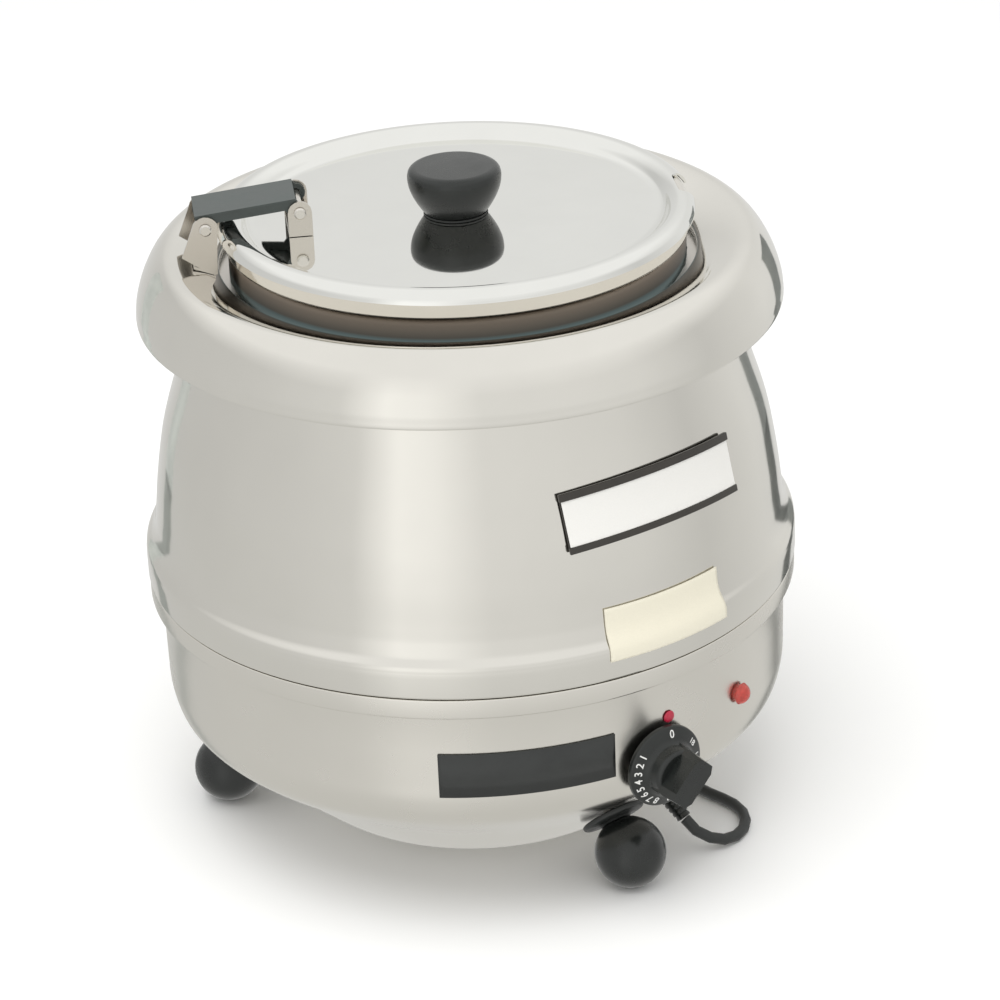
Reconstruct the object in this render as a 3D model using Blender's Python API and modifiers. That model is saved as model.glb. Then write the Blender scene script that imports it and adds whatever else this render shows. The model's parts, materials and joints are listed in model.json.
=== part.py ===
"""Electric soup kettle, 10 litre class: barrel body on three ball feet, hinged lid, dial thermostat.

Metres, +Z up. The kettle's axis is Z, z = 0 is the surface that the feet stand on, and the
thermostat dial faces -Y. An azimuth is measured about Z from the dial, positive towards +X.
"""

from math import asin, atan2, cos, degrees, pi, radians, sin, tau

import bmesh
import bpy
from mathutils import Matrix, Vector

MM = 0.001
SHELL_STEPS = 32                  # facets round the large turned shells
SMALL_STEPS = 14                  # facets round small turned pieces
MERGE = 0.00001

# Body, as (radius, height) pairs in millimetres down the outer side of each sheet
SHEET = 1.0 * MM
BOWL_SIDE = [(165.4, 155), (165.4, 142.2), (169.5, 142), (169.5, 131.5), (164, 130.5), (163.5, 80),
             (159, 68), (151, 60), (131, 44), (114, 27), (95, 12), (80, 8)]
BOWL_FLOOR_HOLE = 66
BARREL_SIDE = [(119.5, 303), (129, 303), (131.5, 300.5), (136, 287), (142, 267), (148, 247),
               (157, 222), (161, 197), (164, 172), (165.4, 166), (170, 158), (170, 142.6)]
COLLAR_SIDE = [(121.2, 305.5), (121.2, 309.5), (124, 312), (130, 314.5), (138, 317), (146, 318.5),
               (150.5, 317), (156, 311), (161, 302), (164, 293), (164.8, 284.6), (150, 284.6)]
LINER_SIDE = [(116, 331.8), (116, 72), (113, 65), (106, 62), (0, 62)]
POT_RIM_CENTRE = (114.55, 330.75)
POT_RIM_RADIUS = 3.05
POT_SKIRT_BOTTOM = 321.4
POT_WALL = 111.5
POT_FLOOR = 74
POT_CORNER = 10
LID_SIDE = [(2.9, 329.6), (103.5, 329.6), (106.5, 331.4), (109.5, 334.4), (111.7, 335.3),
            (116.8, 335.3), (119.3, 333.4), (121, 329.7)]

# Lid hinge, in a frame whose +X points outward at the hinge and whose origin is the kettle's axis
HINGE_AZIMUTH = radians(-117)
OUTER_PIN = (127.0, 337.5)        # radius and height, mm
INNER_PIN = (79.5, 342.2)
PIN_RADIUS = 2.0
PIN_HOLE = 2.35
PIN_HEAD = 3.1
LINK_WIDTH = 28.5
LINK_WALL = 1.3
LINK_TOP = 7.2
LINK_SIDE = 5.3
EAR_THICKNESS = 1.4
EAR_INSIDE = 14.6                 # from the hinge's middle to an ear's inner face
NOTCH_WIDTH = 26
NOTCH_INNER = 112.3
RIVET_RADIUS = 131.0              # collar bracket's rivets
LID_RIVET_RADIUS = 80.0
RIVET_SIDE = 8.0                  # rivets stand this far to each side of the hinge's middle
RIVET_HOLE = 1.9
LID_TOP = 329.6

# Controls
GRIP_TURN = radians(44)            # the grip leans this far from upright, towards +X
DIAL_HEIGHT = 84
DIAL_BACK = 166.3                 # radius of the dial's back face
DIAL_SCREW_PITCH = 28.0
THERMOSTAT_FRONT = -156.0
LAMP_AZIMUTH = radians(21)
LAMP_HEIGHT = 98.4
DOT_AZIMUTH = radians(2.1)
DOT_HEIGHT = 108.1

# Feet
BALL_RADIUS = 18.5
BALL_HEIGHT = 18.25               # centre of the ball, so the ball stands on a small flat
FOOT_CIRCLE = 136.5
FOOT_LEAN = radians(45)
FOOT_AZIMUTHS = [radians(0), radians(120), radians(-120)]

# Mains cord
CORD_DIAMETER = 6.0
GLAND_AZIMUTH = radians(18)
GLAND_SPOT = (120.0, 33.0)        # radius and height on the bowl's slope
GLAND_NECK = 6.0
GLAND_TIP = 20.0                  # length of the strain relief outside the bowl
COIL_CENTRE = (124.0, 191.0)
COIL_INNER = 24.9
COIL_OUTER = 43.8
COIL_HEIGHT = 12.3
PLUG_START = (153.0, 229.0, 12.0) # where the cord enters the plug's strain relief
CORD_ROUTE = [(41.58, -127.98, 18.43), (42.76, -131.61, 14.61), (46.60, -135.01, 10.90),
              (52.27, -138.21, 7.20), (59.51, -139.43, 4.60), (67.50, -138.21, 3.35),
              (75.20, -134.33, 3.05), (81.44, -127.68, 3.05), (85.47, -118.70, 3.05),
              (85.98, -109.28, 3.05), (84.15, -100.41, 3.05), (81.90, -89.00, 3.05),
              (80.90, -72.00, 3.05), (81.00, -50.00, 3.05), (81.60, -28.00, 3.05),
              (82.30, 0.00, 3.05), (82.90, 30.00, 3.05), (83.30, 60.00, 3.05),
              (83.50, 95.00, 3.05), (83.60, 130.00, 3.05), (83.60, 165.00, 3.05)]
CORD_POINTS = 34

PARTS = None
CUTTERS = None


# ---------------------------------------------------------------- scene and materials

def clear_scene():
    for item in list(bpy.data.objects):
        bpy.data.objects.remove(item, do_unlink=True)


def new_collection(name):
    group = bpy.data.collections.new(name)
    bpy.context.scene.collection.children.link(group)
    return group


def material(name, colour, roughness, metallic=0.0):
    found = bpy.data.materials.get(name)
    if found:
        return found
    made = bpy.data.materials.new(name)
    made.use_nodes = True
    shader = made.node_tree.nodes["Principled BSDF"]
    shader.inputs["Base Color"].default_value = (*colour, 1.0)
    shader.inputs["Roughness"].default_value = roughness
    shader.inputs["Metallic"].default_value = metallic
    made.diffuse_color = (*colour, 1.0)
    return made


def satin_steel():
    return material("satin_steel", (0.72, 0.70, 0.67), 0.25, 1.0)


def polished_steel():
    return material("polished_steel", (0.80, 0.80, 0.78), 0.06, 1.0)


def plain_steel():
    return material("plain_steel", (0.60, 0.59, 0.57), 0.4, 1.0)


def black_plastic():
    return material("black_plastic", (0.035, 0.038, 0.036), 0.35)


def grey_link():
    return material("link_grey", (0.13, 0.15, 0.145), 0.45)


def red_plastic():
    return material("red_plastic", (0.62, 0.03, 0.02), 0.2)


def white_card():
    return material("white_card", (0.90, 0.90, 0.88), 0.5)


def cream_vinyl():
    return material("cream_vinyl", (0.88, 0.85, 0.74), 0.45)


def dark_plate():
    return material("dark_plate", (0.05, 0.055, 0.055), 0.4)


def glass_wool():
    return material("glass_wool", (0.75, 0.70, 0.45), 0.95)


def copper():
    return material("copper", (0.85, 0.45, 0.30), 0.3, 1.0)


def black_rubber():
    return material("black_rubber", (0.02, 0.02, 0.02), 0.6)


# ---------------------------------------------------------------- object helpers

def add_object(name, data, look=None, group=None):
    made = bpy.data.objects.new(name, data)
    (group or PARTS).objects.link(made)
    if look:
        made.data.materials.append(look)
    return made


def as_cutter(item):
    for holder in list(item.users_collection):
        holder.objects.unlink(item)
    CUTTERS.objects.link(item)
    item.hide_render = True
    item.display_type = "WIRE"
    return item


def path_object(name, points, look):
    """A wire of straight edges through points that are (radius, height) in millimetres."""
    mesh = bpy.data.meshes.new(name)
    verts = [(radius * MM, 0.0, height * MM) for radius, height in points]
    mesh.from_pydata(verts, [(i, i + 1) for i in range(len(verts) - 1)], [])
    return add_object(name, mesh, look)


def add_screw(item, steps, angle=tau):
    turn = item.modifiers.new("Turn", "SCREW")
    turn.axis = "Z"
    turn.angle = angle
    turn.steps = steps
    turn.render_steps = steps
    turn.use_merge_vertices = True
    turn.merge_threshold = MERGE
    turn.use_smooth_shade = False
    return turn


def turned_solid(name, points, look, steps=SMALL_STEPS):
    """A profile that starts and ends on the axis, run down its outer side, turned into a solid."""
    item = path_object(name, points, look)
    add_screw(item, steps)
    return item


def turned_ring(name, points, look, steps=SMALL_STEPS):
    """A closed profile off the axis, turned into a ring. Its last point is joined to its first."""
    mesh = bpy.data.meshes.new(name)
    verts = [(radius * MM, 0.0, height * MM) for radius, height in points]
    count = len(verts)
    mesh.from_pydata(verts, [(i, (i + 1) % count) for i in range(count)], [])
    item = add_object(name, mesh, look)
    add_screw(item, steps)
    return item


def turned_shell(name, points, look, thickness=SHEET, steps=SHELL_STEPS):
    """An open profile turned into a surface, thickened behind its outer side."""
    item = path_object(name, points, look)
    add_screw(item, steps)
    add_solidify(item, thickness, -1.0)
    return item


def add_solidify(item, thickness, offset):
    wall = item.modifiers.new("Sheet", "SOLIDIFY")
    wall.thickness = thickness
    wall.offset = offset
    wall.use_even_offset = True
    return wall


def bmesh_object(name, build, look=None):
    mesh = bpy.data.meshes.new(name)
    shape = bmesh.new()
    build(shape)
    shape.to_mesh(mesh)
    shape.free()
    return add_object(name, mesh, look)


def box(name, low, high, look=None):
    """A box between two corners in millimetres, in the object's own frame."""
    size = Vector([(b - a) * MM for a, b in zip(low, high)])
    centre = Vector([(a + b) * 0.5 * MM for a, b in zip(low, high)])

    def build(shape):
        place = Matrix.Translation(centre) @ Matrix.Diagonal((*size, 1.0))
        bmesh.ops.create_cube(shape, size=1.0, matrix=place)

    return bmesh_object(name, build, look)


def rod(name, radius, start, end, look=None, steps=SMALL_STEPS, far_radius=None):
    """A straight rod or cone between two points in millimetres, in the object's own frame."""
    start, end = Vector(start) * MM, Vector(end) * MM
    along = end - start
    turn = along.to_track_quat("Z", "Y").to_matrix().to_4x4()
    place = Matrix.Translation((start + end) * 0.5) @ turn

    def build(shape):
        bmesh.ops.create_cone(shape, cap_ends=True, segments=steps, radius1=radius * MM,
                              radius2=(far_radius or radius) * MM, depth=along.length, matrix=place)

    return bmesh_object(name, build, look)


def outline_plate(name, points, thickness, look):
    """A flat outline in its object's XY plane, points in millimetres, thick on both sides of it."""
    curve = bpy.data.curves.new(name, "CURVE")
    curve.dimensions = "2D"
    curve.fill_mode = "BOTH"
    curve.extrude = thickness * 0.5 * MM
    curve.resolution_u = 1
    curve.render_resolution_u = 0
    line = curve.splines.new("POLY")
    line.points.add(len(points) - 1)
    for spot, (x, y) in zip(line.points, points):
        spot.co = (x * MM, y * MM, 0.0, 1.0)
    line.use_cyclic_u = True
    return add_object(name, curve, look)


def make_mesh(item, weld=MERGE):
    """Replace a curve object, or one with modifiers, by the mesh that it shows."""
    bpy.context.view_layer.update()
    depsgraph = bpy.context.evaluated_depsgraph_get()
    mesh = bpy.data.meshes.new_from_object(item.evaluated_get(depsgraph))
    shape = bmesh.new()
    shape.from_mesh(mesh)
    bmesh.ops.remove_doubles(shape, verts=shape.verts, dist=weld)
    bmesh.ops.recalc_face_normals(shape, faces=shape.faces)
    shape.to_mesh(mesh)
    shape.free()
    name, place, parent = item.name, item.matrix_world.copy(), item.parent
    group = item.users_collection[0]
    bpy.data.objects.remove(item, do_unlink=True)
    made = bpy.data.objects.new(name, mesh)
    group.objects.link(made)
    made.parent = parent
    made.matrix_world = place
    return made


def cut(item, cutter, operation="DIFFERENCE"):
    as_cutter(cutter)
    step = item.modifiers.new(operation.title(), "BOOLEAN")
    step.operation = operation
    step.solver = "EXACT"
    step.object = cutter
    return item


def smooth(item):
    if item.type == "MESH":
        item.data.shade_smooth()
        item.data.set_sharp_from_angle(angle=radians(30))


def outward(azimuth, radius, height=0.0):
    """A point at a radius in millimetres from the kettle's axis."""
    return Vector((radius * sin(azimuth), -radius * cos(azimuth), height)) * MM


def face_out(item, azimuth, radius, height, lean=0.0):
    """Place a piece so that its own +Z points away from the axis, and its +Y up the wall.

    lean is the angle by which the wall behind it leans back, in radians.
    """
    item.location = outward(azimuth, radius, height)
    item.rotation_euler = (pi / 2 - lean, 0.0, azimuth)
    return item


def arc(centre, radius, start, end, count):
    """Points on an arc in the XY or radius-height plane. Angles are in degrees."""
    angles = [radians(start + (end - start) * i / count) for i in range(count + 1)]
    return [(centre[0] + radius * cos(a), centre[1] + radius * sin(a)) for a in angles]


# ---------------------------------------------------------------- frames for placing pieces

def empty(name, location, rotation=(0.0, 0.0, 0.0), parent=None):
    made = bpy.data.objects.new(name, None)
    PARTS.objects.link(made)
    made.location = location
    made.rotation_euler = rotation
    made.parent = parent
    return made


def hinge_frame():
    """The kettle's axis, with +X turned to point outward at the lid hinge and +Y along its pins."""
    return empty("hinge_frame", (0, 0, 0), (0, 0, HINGE_AZIMUTH - pi / 2))


def put_in(item, frame, location=(0, 0, 0), rotation=(0, 0, 0)):
    item.parent = frame
    item.location = Vector(location) * MM
    item.rotation_euler = rotation
    return item


def hang_on(item, joint):
    """Parent a piece, drawn in the hinge frame, to a joint's empty in that frame, where it stands."""
    item.parent = joint
    item.location = item.location - joint.location
    return item


# ---------------------------------------------------------------- body shells

def base_bowl():
    side = BOWL_SIDE + [(BOWL_FLOOR_HOLE, BOWL_SIDE[-1][1])]
    bowl = turned_shell("base_bowl", side, satin_steel())
    wall = 163.5
    for name, azimuth, height, radius in (("shaft_hole", 0.0, DIAL_HEIGHT, 5.2),
                                          ("lamp_hole", LAMP_AZIMUTH, LAMP_HEIGHT, 4.9)):
        cut(bowl, face_out(rod(name, radius, (0, 0, -12), (0, 0, 12), steps=12), azimuth, wall, height))
    for number, offset in enumerate((-DIAL_SCREW_PITCH / 2, DIAL_SCREW_PITCH / 2), 1):
        hole = rod(f"dial_screw_hole_{number}", 2.3, (offset, -170, DIAL_HEIGHT), (offset, -150, DIAL_HEIGHT),
                   steps=10)
        cut(bowl, hole)
    for number, azimuth in enumerate(FOOT_AZIMUTHS, 1):
        cut(bowl, place_foot(rod(f"foot_hole_{number}", 4.5, (0, 0, 15), (0, 0, 38), steps=12), azimuth))
    for number, spot in enumerate(cover_screw_spots(), 1):
        cut(bowl, rod(f"flange_hole_{number}", 1.7, (*spot, 4), (*spot, 12), steps=12))
    cut(bowl, place_gland(rod("gland_hole", GLAND_NECK + 0.35, (0, 0, -16), (0, 0, 6), steps=12)))
    return bowl


def base_cover():
    cover = turned_solid("base_cover", [(0, 7.6), (78, 7.6), (78, 6.4), (0, 6.4)], satin_steel(), SHELL_STEPS)
    for number, spot in enumerate(cover_screw_spots(), 1):
        cut(cover, rod(f"cover_hole_{number}", 1.7, (*spot, 4), (*spot, 12), steps=12))
    return cover


def cover_screw_spots():
    return [(72 * sin(a), -72 * cos(a)) for a in (radians(60), radians(180), radians(300))]


def cover_screws():
    for number, spot in enumerate(cover_screw_spots(), 1):
        profile = [(0, 13), (1.4, 13), (1.4, 6.1), (3.0, 6.1), (3.0, 5.0), (2.2, 4.4), (0, 4.4)]
        screw = turned_solid(f"cover_screw_{number}", profile, plain_steel(), 12)
        screw.location = (spot[0] * MM, spot[1] * MM, 0)


def barrel():
    return turned_shell("barrel", BARREL_SIDE, satin_steel())


def collar():
    ring = turned_shell("collar", COLLAR_SIDE, satin_steel())
    frame = bpy.data.objects["hinge_frame"]
    for number, side in enumerate((-1, 1), 1):
        spot = (RIVET_RADIUS, side * RIVET_SIDE)
        hole = rod(f"collar_rivet_hole_{number}", RIVET_HOLE, (*spot, 300), (*spot, 330), steps=12)
        cut(ring, put_in(hole, frame))
    return ring


def well_support_ring():
    profile = [(128, 305.2), (128, 303.3), (116.4, 303.3), (116.4, 305.2)]
    return turned_ring("well_support_ring", profile, plain_steel(), SHELL_STEPS)


def well_liner():
    return turned_shell("well_liner", LINER_SIDE, plain_steel())


def pot_path():
    """From the middle of the pot's floor, out and up its inside, over the rim and down the skirt."""
    corner = arc((POT_WALL - POT_CORNER, POT_FLOOR + POT_CORNER), POT_CORNER, -90, 0, 2)
    rim = arc(POT_RIM_CENTRE, POT_RIM_RADIUS, 180, 0, 4)
    skirt = [(POT_RIM_CENTRE[0] + POT_RIM_RADIUS, POT_SKIRT_BOTTOM)]
    return [(0, POT_FLOOR)] + corner + rim + skirt


def inner_pot():
    return turned_shell("inner_pot", pot_path(), satin_steel())


def insulation_blanket():
    profile = [(129, 282), (129, 84), (118.5, 84), (118.5, 282)]
    return turned_ring("insulation_blanket", profile, glass_wool(), SHELL_STEPS)


# ---------------------------------------------------------------- heater and electrical parts

def heating_element():
    """A round element bent into a ring under the well, its two tails turned down to the terminals."""
    curve = bpy.data.curves.new("heating_element", "CURVE")
    curve.dimensions = "3D"
    curve.bevel_depth = 4.0 * MM
    curve.bevel_resolution = 1
    curve.use_fill_caps = True
    curve.resolution_u = 1
    curve.render_resolution_u = 0
    count = 20
    turn = [radians(12 + 336 * i / count) for i in range(count + 1)]
    points = [(70 * cos(a), 70 * sin(a), 57.2) for a in turn]
    for angle, put in ((turn[0], points.insert), (turn[-1], None)):
        tail = [(70 * cos(angle), 70 * sin(angle), 46.0), (70 * cos(angle), 70 * sin(angle), 34.0)]
        near = (70 * cos(angle), 70 * sin(angle), 52.0)
        if put:
            for spot in (near, *tail):
                points.insert(0, spot)
        else:
            points.extend((near, *tail))
    line = curve.splines.new("POLY")
    line.points.add(len(points) - 1)
    for spot, (x, y, z) in zip(line.points, points):
        spot.co = (x * MM, y * MM, z * MM, 1.0)
    return add_object("heating_element", curve, plain_steel())


def element_clamp():
    profile = [(84, 52.8), (84, 51.3), (3.4, 51.3), (3.4, 52.8)]
    plate = turned_ring("element_clamp", profile, plain_steel(), 20)
    window = [(60, -22, 48), (80, 22, 56)]
    return cut(plate, box("element_tail_window", *window))


def clamp_stud():
    profile = [(0, 61.7), (3.0, 61.7), (3.0, 51.0), (6.0, 51.0), (6.0, 46.0), (3.0, 46.0), (3.0, 42.0),
               (0, 42.0)]
    return turned_solid("clamp_stud", profile, plain_steel(), 12)


def thermostat_body():
    body = box("thermostat_body", (-18, THERMOSTAT_FRONT, DIAL_HEIGHT - 14), (18, -134, DIAL_HEIGHT + 17),
               black_plastic())
    cut(body, rod("shaft_socket", 3.4, (0, THERMOSTAT_FRONT - 3, DIAL_HEIGHT), (0, -146, DIAL_HEIGHT)))
    for number, offset in enumerate((-DIAL_SCREW_PITCH / 2, DIAL_SCREW_PITCH / 2), 1):
        cut(body, rod(f"dial_screw_socket_{number}", 2.3, (offset, THERMOSTAT_FRONT - 3, DIAL_HEIGHT),
                      (offset, -150, DIAL_HEIGHT), steps=12))
    return body


def thermostat_screws():
    profile = [(0, 1.9), (2.6, 1.7), (3.4, 0.6), (3.4, 0), (1.9, 0), (1.9, -12), (0, -12)]
    for number, offset in enumerate((-DIAL_SCREW_PITCH / 2, DIAL_SCREW_PITCH / 2), 1):
        screw = turned_solid(f"thermostat_screw_{number}", profile, plain_steel(), 12)
        screw.location = (offset * MM, -163.85 * MM, DIAL_HEIGHT * MM)
        screw.rotation_euler = (pi / 2, 0, 0)


def sensing_bulb():
    """The thermostat's bulb lies against the bottom of the well, beside the heating element."""
    return rod("sensing_bulb", 3.0, (-35, -92, 58.6), (35, -92, 58.6), copper(), 12)


def thermal_cutout():
    profile = [(0, 61.7), (8, 61.7), (8, 60.6), (11, 60.6), (11, 59.6), (8, 59.6), (8, 55), (0, 55)]
    item = turned_solid("thermal_cutout", profile, black_plastic(), 16)
    item.location = (-28 * MM, 18 * MM, 0)
    return item


def terminal_block():
    return box("terminal_block", (80, -30, 26), (94, 12, 42), black_plastic())


def pilot_lamp():
    body = turned_solid("pilot_lamp_body", [(0, 1.2), (4.5, 1.2), (4.5, -26), (0, -26)], white_card(), 16)
    face_out(body, LAMP_AZIMUTH, 163.8, LAMP_HEIGHT)
    nut = turned_ring("pilot_lamp_nut", [(8, -2.2), (8, -4.8), (4.8, -4.8), (4.8, -2.2)], plain_steel(), 12)
    face_out(nut, LAMP_AZIMUTH, 163.8, LAMP_HEIGHT)
    lens_side = [(0, 6.0), (2.6, 5.6), (4.6, 4.2), (5.6, 2.2), (5.9, 1.5), (0, 1.5)]
    lens = turned_solid("pilot_lamp_lens", lens_side, red_plastic(), 20)
    face_out(lens, LAMP_AZIMUTH, 163.8, LAMP_HEIGHT)


def index_dot():
    side = [(0, 1.0), (2.2, 0.9), (3.0, 0.5), (3.25, 0), (0, 0)]
    dot = turned_solid("index_dot", side, red_plastic(), 12)
    return face_out(dot, DOT_AZIMUTH, 164.25, DOT_HEIGHT)


# ---------------------------------------------------------------- thermostat dial

def thermostat_knob(axis):
    side = [(0, 14.0), (11.8, 14.0), (12.9, 12.6), (13.6, 6.6), (15.5, 5.0), (20.6, 3.0), (21.8, 2.2),
            (21.8, 0), (19.8, 0), (19.4, 1.4), (7.5, 1.4), (7.5, -1.2), (0, -1.2)]
    knob = turned_solid("thermostat_knob", side, black_plastic(), 28)
    knob.parent = axis
    grip = box("dial_grip", (-7.2, -13.6, 5.0), (7.2, 13.6, 25.5))
    grip.parent = axis
    grip.rotation_euler = (0, 0, -GRIP_TURN)
    cut(knob, grip, "UNION")
    bore = rod("dial_bore", 3.35, (0, 0, -3), (0, 0, 10.5))
    bore.parent = axis
    return cut(knob, bore)


def thermostat_shaft(axis):
    side = [(0, 10), (3.0, 10), (3.0, -19.5), (0, -19.5)]
    shaft = turned_solid("thermostat_shaft", side, plain_steel(), 12)
    shaft.parent = axis
    return shaft


# ---------------------------------------------------------------- labels on the body

def strip(name, azimuth, middle, lean, bend, width, low, high, thickness, look, steps=10):
    """A strip wrapped on the wall: bent about an axis that leans back with the wall.

    middle is the (radius, height) of the strip's back at its centre, bend is the radius it is bent
    to, and low and high are its edges along the wall from there.
    """
    half = degrees(width * 0.5 / bend)
    outline = (arc((0, bend), bend + thickness, -90 - half, -90 + half, steps)
               + arc((0, bend), bend, -90 + half, -90 - half, steps))
    item = outline_plate(name, outline, high - low, look)
    item.location = outward(azimuth, *middle)
    item.rotation_euler = (-lean, 0.0, azimuth)
    item = make_mesh(item)
    item.data.transform(Matrix.Translation((0, 0, (high + low) * 0.5 * MM)))
    return item


LABEL = {"azimuth": radians(3.2), "middle": (156.0, 227.6), "lean": radians(16.5), "bend": 160.0}


def label_holder():
    """A channel with a thin back and a rail along each long edge."""
    holder = strip("label_holder", width=107, low=-15, high=15, thickness=1.8, look=black_plastic(), **LABEL)
    channel = dict(LABEL, bend=LABEL["bend"] + 0.8)
    radius, height = LABEL["middle"]
    channel["middle"] = (radius + 0.8 * cos(LABEL["lean"]), height + 0.8 * sin(LABEL["lean"]))
    cutter = strip("label_channel", width=112, low=-11.6, high=11.6, thickness=3.0, look=None, **channel)
    return cut(holder, cutter)


def label_card():
    radius, height = LABEL["middle"]
    front = dict(LABEL, bend=LABEL["bend"] + 1.1)
    front["middle"] = (radius + 1.1 * cos(LABEL["lean"]), height + 1.1 * sin(LABEL["lean"]))
    return strip("label_card", width=105, low=-11.3, high=11.3, thickness=0.4, look=white_card(), **front)


def wall_patch(name, side, first, last, thickness, look, steps):
    """A thin sheet that follows the wall: its outer side, from one azimuth to another."""
    item = path_object(name, side, look)
    spin = Matrix.Rotation(first - pi / 2, 4, "Z")
    item.data.transform(spin)
    add_screw(item, steps, last - first)
    add_solidify(item, thickness, -1.0)
    return item


def front_sticker():
    side = [(163.95, 179.0), (164.75, 172.0), (166.3, 166.1), (170.8, 158.2), (170.8, 152.8)]
    return wall_patch("front_sticker", side, radians(-10.4), radians(14.4), 0.4 * MM, cream_vinyl(), 8)


def caution_plate():
    side = [(164.6, 108.7), (164.5, 84.3)]
    return wall_patch("caution_plate", side, radians(-40.5), radians(-9.1), 0.5 * MM, dark_plate(), 10)


# ---------------------------------------------------------------- feet

def place_foot(item, azimuth):
    """A foot's own +Z runs up from the middle of its ball, leaning in towards the kettle's axis."""
    item.location = outward(azimuth, FOOT_CIRCLE, BALL_HEIGHT)
    item.rotation_euler = (-FOOT_LEAN, 0.0, azimuth)
    return item


def ball_feet():
    """Balls with a small flat to stand on and a bore for the bolt, which leans."""
    low = -degrees(asin(BALL_HEIGHT / BALL_RADIUS))
    side = arc((0, 0), BALL_RADIUS, 90, low, 9)
    side[0] = (0, BALL_RADIUS)
    for number, azimuth in enumerate(FOOT_AZIMUTHS, 1):
        ball = turned_solid(f"ball_foot_{number}", side + [(0, -BALL_HEIGHT)], black_plastic(), 20)
        ball.location = outward(azimuth, FOOT_CIRCLE, BALL_HEIGHT)
        cut(ball, place_foot(rod(f"ball_bore_{number}", 4.4, (0, 0, -3), (0, 0, 30), steps=12), azimuth))


def bowl_clearance(number):
    """The space that the bowl fills, with a gap round it, to shape what sits against it."""
    grown = [(radius + 0.25, height - 0.25) for radius, height in BOWL_SIDE[6:]]
    side = [(0, grown[0][1])] + grown + [(0, grown[-1][1])]
    return turned_solid(f"bowl_clearance_{number}", side, None, SHELL_STEPS)


def foot_seats():
    cup = arc((0, 0), BALL_RADIUS + 0.4, 64.9, 75.5, 2)
    side = [(4.5, 25), (17, 25), (17, 19.7), (16.2, 18.7), (9.4, 18.0), (8.2, 17.3)] + cup
    for number, azimuth in enumerate(FOOT_AZIMUTHS, 1):
        seat = place_foot(turned_ring(f"foot_seat_{number}", side, black_rubber(), 18), azimuth)
        cut(seat, bowl_clearance(number))


def foot_bolts():
    side = [(0, 31), (7.2, 31), (7.2, 25.6), (4.0, 25.6), (4.0, -2.5), (0, -2.5)]
    for number, azimuth in enumerate(FOOT_AZIMUTHS, 1):
        place_foot(turned_solid(f"foot_bolt_{number}", side, plain_steel(), 12), azimuth)


# ---------------------------------------------------------------- lid and its hinge

def lid(frame, joint):
    disc = turned_shell("lid", LID_SIDE, polished_steel(), steps=SHELL_STEPS)
    hang_on(disc, joint)
    low, high = (-135, -NOTCH_WIDTH / 2, 320), (-NOTCH_INNER, NOTCH_WIDTH / 2, 345)
    cut(disc, put_in(box("ladle_notch", low, high), frame))
    for number, side in enumerate((-1, 1), 1):
        spot = (LID_RIVET_RADIUS, side * RIVET_SIDE)
        hole = rod(f"lid_rivet_hole_{number}", RIVET_HOLE, (*spot, 322), (*spot, 336), steps=12)
        cut(disc, put_in(hole, frame))
    return disc


def ear_plate(name, outline, pin, inside, look, frame):
    """An upright ear in the hinge's radius-height plane, its outline in mm about the kettle's axis."""
    ears = []
    for side in (-1, 1):
        ear = outline_plate(f"{name}_ear", outline, EAR_THICKNESS, look)
        ear.parent = frame
        ear.rotation_euler = (pi / 2, 0, 0)
        ear.location = (0, side * (inside + EAR_THICKNESS / 2) * MM, 0)
        ears.append(make_mesh(ear))
    hole = put_in(rod(f"{name}_pin_hole", PIN_HOLE, (pin[0], -25, pin[1]), (pin[0], 25, pin[1])), frame)
    return ears, hole


def collar_bracket(frame):
    """Two ears that lean outward, joined by a foot on the collar and a web beside its opening."""
    r, z = OUTER_PIN
    outline = arc((r, z), 6.6, 10, 165, 8) + [(121.8, 326.5), (122.4, 313.4), (127.5, 314.9), (139.6, 323.4)]
    half = EAR_INSIDE + EAR_THICKNESS / 2
    foot = strip_plate("collar_bracket", (123.2, 312.6), (134.2, 316.9), EAR_THICKNESS, half, plain_steel())
    put_in(foot, frame)
    web = put_in(strip_plate("bracket_web", (122.7, 325.5), (122.7, 313.6), EAR_THICKNESS, half, None), frame)
    ears, hole = ear_plate("collar_bracket", outline, OUTER_PIN, EAR_INSIDE, None, frame)
    for extra in (web, *ears):
        cut(foot, extra, "UNION")
    cut(foot, hole)
    for number, side in enumerate((-1, 1), 1):
        spot = (RIVET_RADIUS, side * RIVET_SIDE)
        hole = rod(f"bracket_rivet_hole_{number}", RIVET_HOLE, (*spot, 300), (*spot, 330), steps=12)
        cut(foot, put_in(hole, frame))
    return foot


def strip_plate(name, start, end, thickness, half_width, look):
    """A flat strip between two (radius, height) points of the hinge frame, standing on that line."""
    start, end = Vector((start[0], 0, start[1])) * MM, Vector((end[0], 0, end[1])) * MM
    along = (end - start).normalized()
    up = along.cross(Vector((0, 1, 0)))
    if up.z < 0 or (abs(up.z) < 0.3 and up.x < 0):
        up = -up
    middle = (start + end) * 0.5 + up * thickness * 0.5 * MM
    turn = Matrix((along, Vector((0, 1, 0)), along.cross(Vector((0, 1, 0))))).transposed().to_4x4()
    size = ((end - start).length, 2 * half_width * MM, thickness * MM)

    def build(shape):
        place = Matrix.Translation(middle) @ turn @ Matrix.Diagonal((*size, 1.0))
        bmesh.ops.create_cube(shape, size=1.0, matrix=place)

    return bmesh_object(name, build, look)


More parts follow.
